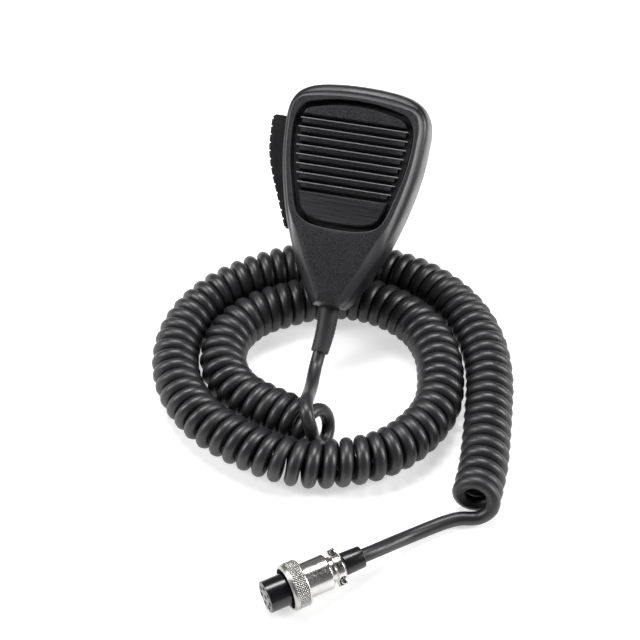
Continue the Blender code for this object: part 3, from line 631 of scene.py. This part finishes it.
def make_stage():
    """The pale floor, the world, which is brightest near the horizon, and the lights."""
    shape = bmesh.new()
    bmesh.ops.create_grid(shape, x_segments=1, y_segments=1, size=4)
    floor = raw("floor", shape, Matrix.Identity(4))
    paper = Look("pale_paper", roughness=0.9)
    paper.colour(paper.mixed(paper.noise(40, 2), (0.62, 0.62, 0.62), (0.64, 0.64, 0.64)))
    paper.shader.inputs["Emission Color"].default_value = (1, 1, 1, 1)
    paper.shader.inputs["Emission Strength"].default_value = FLOOR_GLOW
    floor.data.materials.append(paper.material)
    world = bpy.data.worlds.new("studio")
    bpy.context.scene.world = world
    world.use_nodes = True
    nodes, links = world.node_tree.nodes, world.node_tree.links
    sky = nodes["Background"]
    sky.inputs["Strength"].default_value = WORLD_LIGHT
    height = nodes.new("ShaderNodeSeparateXYZ")
    links.new(nodes.new("ShaderNodeTexCoord").outputs["Generated"], height.inputs["Vector"])
    fade = map_range(world.node_tree, height.outputs["Z"], 0.1, 0.8, 1, 0.12)
    links.new(fade, sky.inputs["Color"])
    for box in SOFTBOXES:
        softbox(*box)
    bpy.context.scene.view_settings.view_transform = "Standard"


# ---- case outline

def half_body():
    """The right half of the case's outline, from mid-foot to mid-top."""
    return [Vector(p) for p in BODY_FOOT] + curve_through(BODY_KNOTS, 22)


def normals_of(half):
    """The outward normal at each point of a half outline whose two ends lie on x = 0."""
    found = []
    for i, point in enumerate(half):
        before = half[i - 1] if i else Vector((-half[1].x, half[1].y))
        after = half[i + 1] if i < len(half) - 1 else Vector((-half[-2].x, half[-2].y))
        along = ((point - before).normalized() + (after - point).normalized()).normalized()
        found.append(Vector((along.y, -along.x)))
    return found


def half_opening(inset, count):
    """The right half of the grille opening's outline, moved in by an inset."""
    half = curve_through(OPENING_KNOTS, count)
    moved = [p - n * inset for p, n in zip(half, normals_of(half))]
    moved[0].x = 0
    moved[-1].x = 0
    return moved


def whole(half):
    """A half outline or ring and its mirror image, as one closed line."""
    return [tuple(p) for p in half] + [(-p[0], *p[1:]) for p in reversed(half[1:-1])]


def depth_at(y, neck, head):
    """How deep a half of the case is at a height: its neck's depth, rising to its head's."""
    return neck + (head - neck) * ease(y, *SLOPE)


def side_at(line, y):
    """The x of a half outline at a height."""
    widest = 0
    for low, high in zip(line, line[1:]):
        if low.y <= y <= high.y:
            share = (y - low.y) / max(high.y - low.y, 1e-9)
            widest = max(widest, low.x + (high.x - low.x) * share)
    return widest


def body_side(y):
    return side_at(half_body(), y)


FOOT_POINTS = 4
SIDE_POINTS = 92
LEVEL_STEPS = 4
FOOT_DROP = 0.35


def case_level(level, depths, way, shrink=0.0, foot=0.0):
    """The right half of one level of a shell, as fine points in space."""
    share, side, top, neck = level
    start = 0 if way > 0 else GAP
    half = half_body()
    coarse = []
    for point, normal in zip(half, normals_of(half)):
        head = side + (top - side) * max(0, normal.y) ** 2
        step = neck + (head - neck) * ease(point.y, *NECK) + shrink
        drop = step if normal.y > 0 else step * FOOT_DROP
        x = point.x and max(0, point.x - normal.x * step)
        y = max(point.y - normal.y * drop, foot)
        depth = depth_at(y, *depths) - shrink
        coarse.append(Vector((x, y, way * (start + (depth - start) * share))))
    straight = [a.lerp(b, k / FOOT_POINTS) for a, b in zip(coarse[:2], coarse[1:3])
                for k in range(FOOT_POINTS)]
    return straight + curve_through(coarse[2:], SIDE_POINTS)


def between_levels(levels):
    """The levels and some more between them, on smooth curves up the shell."""
    return [tuple(v) for v in smooth_line(levels, LEVEL_STEPS)]


def opening_like(ring_half, inset, z):
    """The opening's points that lie in the directions of a half ring's points from its middle."""
    line = half_opening(inset, 240)
    angles = [math.atan2(p.x, OPENING_CENTRE.y - p.y) for p in line]
    found = []
    at = 0
    for point in ring_half:
        at, share = locate(angles, math.atan2(point.x, OPENING_CENTRE.y - point.y), at)
        spot = line[at].lerp(line[at + 1], min(1, max(0, share)))
        found.append(Vector((spot.x, spot.y, z)))
    found[0].x = 0
    found[-1].x = 0
    return found


# The face falls off by the crown towards its outer edge, over the crown's reach
CROWN = 0.8
CROWN_REACH = 4.5
CROWN_FROM = 0.6
FACE_RINGS = 16
# The channel's material is painted shade in the recess round the grille opening
SHELL, BEZEL, RIM, SHADED_CHANNEL = range(4)


def front_rings():
    """Every ring of the front shell, round its section from the seam's outer edge to its inner
    edge, each with the number of the material of the band that follows it."""
    rings = [(case_level(level, FRONT_DEPTHS, 1), SHELL)
             for level in between_levels(FRONT_WALL)[:-1]]
    rings += [(case_level(level, FRONT_DEPTHS, 1), BEZEL) for level in between_levels(FRONT_BEZEL)]
    for half, _ in rings:
        for point in half:
            neck = 1 - ease(point.y, *NECK)
            depth = depth_at(point.y, *FRONT_DEPTHS)
            point.z -= CROWN * neck * ease(point.z / depth, CROWN_FROM, 1)
    rim = rings.pop()[0]
    mouth = opening_like(rim, -0.35, HEAD_DEPTH)
    for k in range(FACE_RINGS + 1):
        row = []
        for a, b in zip(rim, mouth):
            spot = a.lerp(b, k / FACE_RINGS)
            reach = min(1, (spot - a).length / CROWN_REACH)
            neck = 1 - ease(a.y, *NECK)
            spot.z = depth_at(spot.y, *FRONT_DEPTHS) - CROWN * neck * (1 - reach) ** 2
            row.append(spot)
        rings.append((row, RIM))
    for inset, drop, number in ((-0.1, 0.12, RIM), (0, 0.45, SHADED_CHANNEL)):
        edge = opening_like(rim, inset, 0)
        for point in edge:
            point.z = depth_at(point.y, *FRONT_DEPTHS) - drop
        rings.append((edge, number))
    rings.append((opening_like(rim, 0, PANEL_LOW - GAP), SHADED_CHANNEL))
    rings.append((opening_like(rim, LEDGE_WIDTH, PANEL_LOW - GAP), SHADED_CHANNEL))
    rings.append((opening_like(rim, LEDGE_WIDTH, LEDGE_LOW), SHELL))
    for level in reversed(FRONT_CAVITY):
        rings.append((case_level(level, FRONT_DEPTHS, 1, WALL, CAVITY_FOOT), SHELL))
    return rings


def ring_solid(rings, closed):
    """A bmesh through the rings. It closes on itself, or with strips across its two ends."""
    shape = bmesh.new()
    rows = [[shape.verts.new(p) for p in whole(half)] for half, _ in rings]
    count = len(rows[0])
    for n, face in enumerate(skin(shape, rows, closed)):
        face.material_index = rings[n // count][1]
    if not closed:
        for row in (rows[0], rows[-1]):
            for i in range(count // 2):
                corners = [row[i], row[i + 1], row[-i - 1], row[-i]]
                shape.faces.new(list(dict.fromkeys(corners)))
    sew(shape)
    return shape


def key_slot():
    return box_shape((-40, KEY_LOW - GAP, KEY_BACK - GAP),
                     (-body_side(KEY_LOW) + 5, KEY_HIGH + 1.4, KEY_FRONT + GAP))


def relief_bore():
    return along_y(rod_shape(BORE_RADIUS + GAP, -8, 6))


def make_front_shell():
    shell = raw("front_shell_looks", ring_solid(front_rings(), True), MIC)
    carve(shell, "DIFFERENCE", MIC, key_slot(), relief_bore())
    show(shell, "front_shell", ["shell", "bezel", "rim", "shaded_channel"], 30)


def make_rear_cover():
    rings = [(case_level(level, BACK_DEPTHS, -1), SHELL) for level in between_levels(BACK_WALL)]
    cover = raw("rear_cover_looks", ring_solid(rings, False), MIC)
    cavity = [(case_level(level, BACK_DEPTHS, -1, WALL, CAVITY_FOOT), SHELL)
              for level in BACK_CAVITY]
    for point in cavity[0][0]:
        point.z = 1
    sinks = [rod_shape(SINK_RADIUS, -14, -depth_at(y, *BACK_DEPTHS) + WALL + 1, (x, y))
             for x, y in SCREW_PLACES]
    carve(cover, "DIFFERENCE", MIC, ring_solid(cavity, False), key_slot(), relief_bore(), *sinks)
    show(cover, "rear_cover", ["shell"], 30)


# ---- grille

def opening_side(y, inset):
    return side_at(half_opening(inset, 160), y)


# Sections of a slat and its lip: y from the slat's upper edge, and z
SLAT_SECTION = ((-2.35, SLAT_BOTTOM), (-2.35, 15.9), (-0.35, 16.8), (-0.35, SLAT_BOTTOM))
LIP_SECTION = ((-0.45, 16.1), (-0.45, 17.1), (-0.1, 17.2), (0, 16.9), (0, 16.1))
SLAT_INSET = 3.5
LIP_INSET = 2.4
CAP_INSET = 2.5
BAR_COLUMNS = 12
SLOT_INSET = 10
EDGE_STEPS = 6
# Material numbers, where the panel behind the slats has 0
# The lips' material is a painted highlight on the slats' top edges
SLAT, LIP_HIGHLIGHT = 1, 2


def bar(shape, section, inset, number):
    """A bar along x with a closed (y, z) section, as long as the opening is wide."""
    shares = [-1 + 2 * k / BAR_COLUMNS for k in range(BAR_COLUMNS + 1)]
    rows = [[shape.verts.new((share * opening_side(y, inset), y, z)) for y, z in section]
            for share in shares]
    for face in skin(shape, rows) + [shape.faces.new(rows[0]), shape.faces.new(rows[-1])]:
        face.material_index = number


def dome(shape, outline, low, high, edge, number=0):
    """A slab with a rounded upper edge."""
    levels = [(0, low)] + [(inward, high - edge + up)
                           for inward, up in rounded_edge(edge, EDGE_STEPS)]
    ring = [Vector(p) for p in outline]
    rows = []
    for inward, z in levels:
        row = []
        for before, point, after in zip(ring[-1:] + ring[:-1], ring, ring[1:] + ring[:1]):
            along = (after - before).normalized()
            spot = point - Vector((along.y, -along.x)) * inward
            row.append(shape.verts.new((*spot, z)))
        rows.append(row)
    made = skin(shape, rows) + [shape.faces.new(rows[0]), shape.faces.new(rows[-1])]
    for face in made:
        face.material_index = number
    bmesh.ops.recalc_face_normals(shape, faces=made)


def opening_foot(inset, cut, top):
    """The outline of the opening's part below a cut, closed by a straight top."""
    half = [p for p in half_opening(inset, 200) if p.y < cut]
    return whole(half + [Vector((half[-1].x, top)), Vector((0, top))])


def make_grille():
    """The slotted panel, and on it the lipped slats, a cap above them and the label's bed."""
    outline = whole(half_opening(GAP, 90))
    panel = raw("grille_panel_looks", slab_shape(outline, PANEL_LOW, PANEL_BASE), MIC)
    slots = []
    for i in range(SLAT_COUNT + 1):
        y = SLAT_FOOT + SLAT_PITCH * i
        reach = body_side(y) - SLOT_INSET
        slots.append(box_shape((-reach, y + 0.2, 10), (reach, y + 1.1, 16)))
    carve(panel, "DIFFERENCE", MIC, *slots)
    shape = bmesh.new()
    for i in range(SLAT_COUNT):
        high = SLAT_FOOT + SLAT_PITCH * (i + 1)
        bar(shape, rounded([(high + y, z) for y, z in SLAT_SECTION], 0.15), SLAT_INSET, SLAT)
        bar(shape, rounded([(high + y, z) for y, z in LIP_SECTION], 0.1), LIP_INSET, LIP_HIGHLIGHT)
    face_out(shape)
    top_low = SLAT_FOOT + SLAT_PITCH * SLAT_COUNT + SLAT_GAP
    cap = [Vector((0, top_low)), Vector((opening_side(top_low, CAP_INSET), top_low))]
    cap += [p for p in half_opening(CAP_INSET, 200) if p.y > top_low]
    dome(shape, whole(cap), SLAT_BOTTOM, PANEL_TOP, 0.5, SLAT)
    bed = opening_foot(2.3, SLAT_FOOT, SLAT_FOOT)
    dome(shape, bed, SLAT_BOTTOM, PANEL_TOP - 0.6, 0.3, SLAT)
    slats = raw("slats", shape, MIC)
    shape = bmesh.new()
    shape.from_mesh(panel.data)
    shape.from_mesh(slats.data)
    shape.to_mesh(panel.data)
    shape.free()
    bpy.data.objects.remove(slats)
    show(panel, "grille_panel", ["shaded_channel", "grille", "lip"], 30)


def make_label():
    shape = bmesh.new()
    outline = opening_foot(2.9, SLAT_FOOT - 0.5, SLAT_FOOT - 0.4)
    dome(shape, outline, PANEL_TOP - 0.55, PANEL_TOP + 0.1, 0.22)
    piece("label_plate", shape, MIC, "label", 30)


# ---- push-to-talk key

def key_reach(y):
    """How far the key stands out of the case at a height."""
    along = (y - KEY_LOW) / (KEY_HIGH - KEY_LOW)
    return KEY_STANDS + KEY_SWELLS * ease(along, 0, 0.75)


def key_outline():
    """The key seen from the front, with rounded grip notches down its outer edge."""
    outer = []
    y = KEY_LOW
    while y < KEY_HIGH - 0.6:
        along = ((y - KEY_LOW - GROOVE_START) % GROOVE_PITCH) / GROOVE_PITCH
        notch = GROOVE_DEPTH * ease(1 - abs(along - GROOVE_AT) / GROOVE_HALF, 0, 1)
        end = 1.1 * ease(abs(y - KEY_HIGH), KEY_END, 0) if y > KEY_HIGH - KEY_END else 0
        outer.append((-body_side(y) - key_reach(y) + notch + end, y))
        y += KEY_STEP
    outer.append((outer[-1][0] + 0.8, KEY_HIGH))
    inner = [(-body_side(h) + 4, h) for h in (80.5, 70, 60, 50, 40, 31.5)]
    return outer + inner


def make_key():
    """The key with its long edges rounded, and inside the case its lip, arm, eye and finger."""
    outline = key_outline()
    middle = (KEY_FRONT + KEY_BACK) / 2
    half = (KEY_FRONT - KEY_BACK) / 2
    steps = [(inward, half - KEY_EDGE + up) for inward, up in rounded_edge(KEY_EDGE, 5)]
    levels = [(inward, middle - height) for inward, height in reversed(steps)]
    levels += [(inward, middle + height) for inward, height in steps]
    shape = bmesh.new()
    rows = []
    for inward, z in levels:
        row = []
        for x, y in outline:
            free = max(0, min(1, -body_side(y) - x))
            row.append(shape.verts.new((x + inward * free, y, z)))
        rows.append(row)
    skin(shape, rows)
    shape.faces.new(rows[0])
    shape.faces.new(rows[-1])
    face_out(shape)
    key = raw("ptt_key_looks", shape, MIC)
    heights = (36.5, 44, 54, 64, 74, 82.2)
    lip = [(-body_side(y) + 3.2, y) for y in heights]
    lip += [(-body_side(y) + 5, y) for y in reversed(heights)]
    arm = box_shape((-body_side(KEY_LOW + 2) + 3.6, 31.6, -4.6),
                    (KEY_PIVOT[0] - 1, 34.6, KEY_FRONT))
    finger = box_shape((-body_side(65) + 3.8, 63.4, -3), (-18.7, 66.6, 1))
    eye = rod_shape(2.6, -4.6, KEY_FRONT, KEY_PIVOT)
    carve(key, "UNION", MIC, slab_shape(lip, KEY_BACK - 0.8, KEY_FRONT + 0.8), arm, eye, finger)
    carve(key, "DIFFERENCE", MIC, rod_shape(1 + GAP, -8, 6, KEY_PIVOT))
    show(key, "ptt_key", ["key"], 40, "ptt_key")


# ---- screws and hanger button

SCREW_HEAD = 1.3
THREAD_TURNS = 7
THREAD_RISE = 0.2
THREAD_DEPTH = 0.18
CROSS_HALF = 0.22
CROSS_DEPTH = 0.7
# The button's section from the case's back: radius, and distance behind the back
BUTTON_SECTION = ((1.6, 0), (5, 0), (5, 0.8), (3.6, 1.6), (3.6, 3.6), (7, 4.2), (7.4, 4.8),
                  (7.4, 5.6), (6.8, 6.2), (3.2, 6.2), (3.2, 4.6), (1.6, 4.6))
BUTTON_SEAT = 4.6


def make_screw(node, place, seat, tip, shank, head):
    """A cross-head screw along z, its head on the side of its seat away from its tip."""
    way = 1 if seat > tip else -1
    top = seat + way * SCREW_HEAD
    profile = [(0, top), (head * 0.6, top), (head * 0.92, top - way * 0.35),
               (head, top - way * 0.75), (head, seat), (shank, seat)]
    for k in range(THREAD_TURNS):
        z = seat + (tip - seat) * (k + 0.5) / THREAD_TURNS
        profile += [(shank, z + way * THREAD_RISE), (shank + THREAD_DEPTH, z),
                    (shank, z - way * THREAD_RISE)]
    profile += [(shank * 0.6, tip), (0, tip)]
    screw = raw(f"{node}_looks", shifted(lathe(profile, 36), *place), MIC)
    carve(screw, "DIFFERENCE", MIC,
          *cross_cuts(place, head * 0.6, CROSS_HALF, top - way * CROSS_DEPTH, top + way))
    show(screw, node, ["steel"], 30)


def make_back_hardware():
    for i, spot in enumerate(SCREW_PLACES):
        seat = -depth_at(spot[1], *BACK_DEPTHS) + WALL - GAP
        make_screw(f"case_screw_{i + 1}", spot, seat, 6, 0.75, 1.9)
    back = -HEAD_BACK - GAP
    section = rounded([(radius, back - z) for radius, z in BUTTON_SECTION], 0.3)
    piece("hanger_button", shifted(lathe(section), *BUTTON_PLACE), MIC, "nickel")
    make_screw("button_screw", BUTTON_PLACE, back - BUTTON_SEAT - GAP, -9.6, 1.0, 2.6)


# ---- cord and strain relief

# The open first turn: a tilted ring, which blends into the helix between two numbers of turns,
# and the turns that come before the route's start
RING_CENTRE = Vector((9.9, -70.2, 9.8))
RING_AXIS_UP = math.radians(20)
RING_AXIS_TURN = math.radians(-25)
RING_RADIUS_OPEN = 6.6
RING_LEAVES = -0.3
RING_JOINS = 1.3
RING_TURNS = 2.0
POINTS_PER_TURN = 20
ROUTE_STEPS = 2400
HEADING_STEPS = 8
# How the last turn ends: degrees past whole turns, and the tip of its plane
LAST_PHASE = 70
END_TIP = math.radians(20)
END_TURNS = 1.5
# Points of the coil on each side that the straight stretches stand in for
JOIN_POINTS = 4
STRETCH_POINTS = 80


def pitch_at(place):
    """How far one turn lies from the next. They open a little along the front strand and at the
    upper left."""
    front = ease(-place.y, 70, 80) * ease(50 - abs(place.x), 5, 20)
    left = ease(-place.x, 20, 40) * ease(place.y, -30, 0)
    return PACKED_PITCH + (OPEN_PITCH - PACKED_PITCH) * front + LEFT_PITCH * left


def ring_axes():
    """The directions across and up in the open ring's plane."""
    axis = Vector((math.cos(RING_AXIS_UP) * math.cos(RING_AXIS_TURN),
                   math.cos(RING_AXIS_UP) * math.sin(RING_AXIS_TURN), math.sin(RING_AXIS_UP)))
    up = (UP - axis * axis.z).normalized()
    return up.cross(axis), up


def coil_line():
    """The wire of the curly stretch: an open ring at the microphone's end, then a left-handed
    helix about the route."""
    centres = curve_through([Vector((x, y, COIL_HEIGHT)) for x, y in COIL_ROUTE], ROUTE_STEPS)
    step = distances(centres)[-1] / (len(centres) - 1)
    turns = [0.0]
    for place in centres[1:]:
        turns.append(turns[-1] + step / pitch_at(place))
    last = round(turns[-1] + RING_TURNS) + LAST_PHASE / 360
    squeeze = (last - RING_TURNS) / turns[-1]
    ring_right, ring_up = ring_axes()
    line = []
    at = 0
    count = int(last * POINTS_PER_TURN)
    for k in range(count + 1):
        turn = last * k / count
        want = (turn - RING_TURNS) / squeeze
        if want <= 0:
            along = (centres[1] - centres[0]).normalized()
            centre = centres[0] + along * want * PACKED_PITCH
        else:
            at, share = locate(turns, want, at)
            centre = centres[at].lerp(centres[at + 1], min(1, share))
            ahead = centres[min(at + HEADING_STEPS, len(centres) - 1)]
            along = (ahead - centres[max(at - HEADING_STEPS, 0)]).normalized()
        tip = END_TIP * ease(turn, last - END_TURNS, last)
        right = along.cross(UP)
        up = UP * math.cos(tip) - along * math.sin(tip)
        blend = ease(turn, RING_LEAVES, RING_JOINS)
        middle = RING_CENTRE.lerp(centre, blend)
        across = ring_right.lerp(right, blend).normalized()
        above = ring_up.lerp(up, blend).normalized()
        radius = RING_RADIUS_OPEN + (TURN_RADIUS - RING_RADIUS_OPEN) * blend
        angle = math.pi + math.tau * turn
        line.append(middle + (across * math.cos(angle) + above * math.sin(angle)) * radius)
    return line


def run_into(route, turns):
    """A line through a route's points and on into a coil, up to the coil's fourth point."""
    steps = 12
    line = smooth_line([Vector(p) for p in route] + [turns[0], turns[3], turns[6]], steps)
    return line[:-steps]


def cord_line():
    coil = coil_line()
    start = run_into(MIC_ROUTE, coil)
    end = run_into(PLUG_ROUTE[::-1], coil[::-1])
    coil = coil[JOIN_POINTS:-JOIN_POINTS]
    return even(start, STRETCH_POINTS) + coil + even(end, STRETCH_POINTS)[::-1]


def make_cord():
    line = cord_line()
    curve = bpy.data.curves.new("curly_cord", "CURVE")
    curve.dimensions = "3D"
    curve.bevel_depth = CORD_RADIUS * MM
    curve.bevel_resolution = 6
    curve.use_fill_caps = True
    spline = curve.splines.new("POLY")
    spline.points.add(len(line) - 1)
    for point, place in zip(spline.points, line):
        point.co = (*(place * MM), 1)
    curve.materials.append(LOOKS["cord"])
    cord = link(bpy.data.objects.new("curly_cord", curve))
    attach(cord, "case")
    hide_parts("cord_to_mic", "coiled_cord", "cord_to_plug")


# The relief's section: distance along the cord from its exit, inwards, and radius
RELIEF_PROFILE = ((7.4, 4.2), (3.9, 4.2), (3.89, 5.3), (1.7, 5.3), (1.69, 4.2), (-0.5, 4.2),
                  (-8.4, 4), (-18.5, 3.65), (-18.8, 3.55), (-18.85, 3.4), (-18.85, 2.98),
                  (-15, 2.98), (7.4, 2.98))
RELIEF_SIDES = 48
RELIEF_STEP = 1.5


def relief_steps():
    """The relief's section with extra rings down its long sides, so that it can bend."""
    found = []
    for a, b in zip(RELIEF_PROFILE, RELIEF_PROFILE[1:] + RELIEF_PROFILE[:1]):
        pieces = max(1, round(abs(a[0] - b[0]) / RELIEF_STEP))
        for k in range(pieces):
            t = k / pieces
            found.append((a[0] + (b[0] - a[0]) * t, a[1] + (b[1] - a[1]) * t))
    return found


def make_relief():
    """The moulded sleeve: rings on the cord's own line, with a closed section."""
    line = even(smooth_line(MIC_ROUTE[:5]), 400)
    along = distances(line)
    begin = (line[0] - CORD_EXIT).length
    shape = bmesh.new()
    rows = []
    for height, radius in relief_steps():
        want = begin - height
        at = min(range(len(along)), key=lambda i: abs(along[i] - want))
        at = min(max(at, 1), len(line) - 2)
        way = (line[at + 1] - line[at - 1]).normalized()
        side = Vector((1, 0, 0))
        side = (side - way * side.dot(way)).normalized()
        up = way.cross(side)
        centre = line[at] + way * (want - along[at])
        turns = [math.tau * k / RELIEF_SIDES for k in range(RELIEF_SIDES)]
        rows.append([shape.verts.new(centre + (side * math.cos(t) + up * math.sin(t)) * radius)
                     for t in turns])
    skin(shape, rows, True)
    face_out(shape)
    piece("strain_relief", shape, Matrix.Scale(MM, 4), "relief", 30)


# ---- plug

# Sections of the plug's turned pieces: radius, and distance from the plug's face
INSERT_SECTION = ((0, 22), (5.3, 22), (5.3, 14), (INSERT_RADIUS, 13), (INSERT_RADIUS, 0), (0, 0))
CONTACT_SECTION = ((0.55, 8.6), (0.55, 1), (0.32, 1), (0.32, 7), (0.1, 8.6))
RING_BACK = ((RING_RADIUS - 0.35, 14.9), (RING_RADIUS - 0.1, 14.7), (RING_RADIUS, 14.4))
RING_FRONT = ((RING_RADIUS, 8.9), (RING_RADIUS - 0.7, 8.2), (7.75, 8.2), (7.75, 14),
              (SHELL_RADIUS + GAP, 14), (SHELL_RADIUS + GAP, 14.9))
SHELL_SECTION = ((SHELL_RADIUS - 0.6, 25.4), (SHELL_RADIUS, 24.8), (SHELL_RADIUS, 13.7),
                 (7.4, 13.7), (7.4, 12.7), (INSERT_RADIUS + GAP, 12.7),
                 (INSERT_RADIUS + GAP, 13.4), (5.65, 14.4), (5.65, 22.4), (3.6, 24), (3.6, 25.4))
CLAMP_SECTION = ((4.6, CLAMP_HIGH), (CLAMP_RADIUS, CLAMP_HIGH - 1),
                 (CLAMP_RADIUS, CLAMP_LOW + 0.8), (4.9, CLAMP_LOW), (4.9, 25.7), (3.1, 25.7),
                 (3.1, CLAMP_HIGH))
SLEEVE_SECTION = ((4.2, 39.4), (4.4, CLAMP_HIGH + GAP), (3.05, CLAMP_HIGH + GAP), (3.05, 39.4))
CONTACT_RING = 7


def contact_places():
    """A ring of contacts and one in the middle."""
    turns = [math.tau * k / CONTACT_RING + 0.3 for k in range(CONTACT_RING)]
    return [(CONTACT_CIRCLE * math.cos(t), CONTACT_CIRCLE * math.sin(t)) for t in turns] + [(0, 0)]


def make_insert():
    insert = raw("socket_insert_looks", lathe(rounded(INSERT_SECTION, 0.3, closed=False)), PLUG)
    holes = [rod_shape(CONTACT_HOLE, -1, 9, spot, 28) for spot in contact_places()]
    keyway = box_shape((INSERT_RADIUS - 0.9, -0.9, -1), (INSERT_RADIUS + 1, 0.9, 6.5))
    carve(insert, "DIFFERENCE", PLUG, keyway, *holes)
    pieces = [show(insert, "socket_insert", ["insert"])]
    for i, spot in enumerate(contact_places()):
        shape = shifted(lathe(rounded(CONTACT_SECTION, 0.06), 20), *spot)
        pieces.append(piece(f"socket_contact_{i + 1}", shape, PLUG, "brass"))
    return pieces


KNURL_COUNT = 54
KNURL_PITCH = 1.05
KNURL_DEPTH = 0.28
KNURL_FLAT = 0.4
KNURL_BAND = (9.9, 14.3)
KNURL_ROWS = 34
KNURL_STEPS = 432


def knurl(turn, radius, height):
    """Two crossed families of grooves on the ring's outer face."""
    if radius < RING_RADIUS - 0.02 or not KNURL_BAND[0] < height < KNURL_BAND[1]:
        return 0
    across = turn / math.tau * KNURL_COUNT
    along = height / KNURL_PITCH
    groove = max(abs((across + along) % 1 - 0.5), abs((across - along) % 1 - 0.5)) * 2
    return -KNURL_DEPTH * max(0, groove - KNURL_FLAT) / (1 - KNURL_FLAT)


def make_plug_metal():
    low, high = KNURL_BAND
    knurled = [(RING_RADIUS, high - (high - low) * k / KNURL_ROWS) for k in range(KNURL_ROWS + 1)]
    profile = [*RING_BACK, *knurled, (RING_RADIUS, 9.6), *rounded(RING_FRONT, 0.15)[1:]]
    ring = lathe(profile, KNURL_STEPS, knurl)
    shell = lathe(rounded(SHELL_SECTION, 0.2), 128)
    return [piece("coupling_ring", ring, PLUG, "knurled", 50, "coupling_ring"),
            piece("plug_shell", shell, PLUG, "nickel")]


CLAMP_MIDDLE = (CLAMP_LOW + CLAMP_HIGH) / 2
CLAMP_HOLE = 0.9
CLAMP_SINK = 1.6


def across_clamp(radius, low, high, x):
    """A rod across the clamp's split, on one of its screws' axes."""
    return shifted(along_y(rod_shape(radius, low, high, sides=28)), x, 0, CLAMP_MIDDLE)


def make_clamp_half(node, side):
    """Half of the cord clamp with its two ears, its edges soft as on a stamped piece."""
    flat = Matrix.Identity(4)
    half = raw(f"{node}_looks", lathe(CLAMP_SECTION, 64), flat)
    ears = box_shape((-EAR_REACH, 0, CLAMP_LOW + 0.5),
                     (EAR_REACH, side * EAR_HEIGHT, CLAMP_HIGH - 0.8))
    carve(half, "UNION", flat, ears)
    cuts = [rod_shape(3.3, 24, 33), box_shape((-9, -side * 9, 24), (9, side * GAP / 2, 33))]
    for x in (-EAR_SCREW, EAR_SCREW):
        cuts.append(across_clamp(CLAMP_HOLE, -3, 3, x))
        if side > 0:
            cuts.append(across_clamp(CLAMP_SINK, EAR_HEIGHT, 8, x))
    carve(half, "DIFFERENCE", flat, *cuts)
    melt(half, 0.14, 5)
    half.data.transform(CLAMP)
    return show(half, node, ["nickel"], 60)


def make_clamp_screw(node, x):
    top = EAR_HEIGHT + 1.5
    profile = ((0, top), (0.6, top), (1.05, top - 0.15), (1.3, top - 0.5), (1.3, EAR_HEIGHT + GAP),
               (0.6, EAR_HEIGHT + GAP), (0.6, -1.7), (0, -1.7))
    turn = Matrix.Rotation(-math.pi / 2, 4, "X")
    space = CLAMP @ (Matrix.Translation((x, 0, CLAMP_MIDDLE)) @ turn)
    screw = raw(f"{node}_looks", lathe(profile, 36), space)
    carve(screw, "DIFFERENCE", space, *cross_cuts((0, 0), 0.8, 0.16, top - 0.45, top + 1))
    return show(screw, node, ["nickel"])


def make_clamp():
    """The cord clamp with its two screws, and the rubber sleeve behind it."""
    sleeve = lathe(rounded(SLEEVE_SECTION, 0.3))
    return [make_clamp_half("clamp_base", -1), make_clamp_half("clamp_saddle", 1),
            make_clamp_screw("clamp_screw_1", -EAR_SCREW),
            make_clamp_screw("clamp_screw_2", EAR_SCREW),
            piece("plug_sleeve", sleeve, PLUG, "sleeve")]


def finish_nodes():
    for look, nodes in KEPT_NODES.items():
        for node in nodes:
            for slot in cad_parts[node].material_slots:
                slot.material = LOOKS[look]


make_camera()
plug_pieces = make_insert() + make_plug_metal() + make_clamp()
make_cord()
make_relief()
make_front_shell()
make_rear_cover()
make_grille()
make_label()
make_key()
make_back_hardware()
finish_nodes()
make_stage()
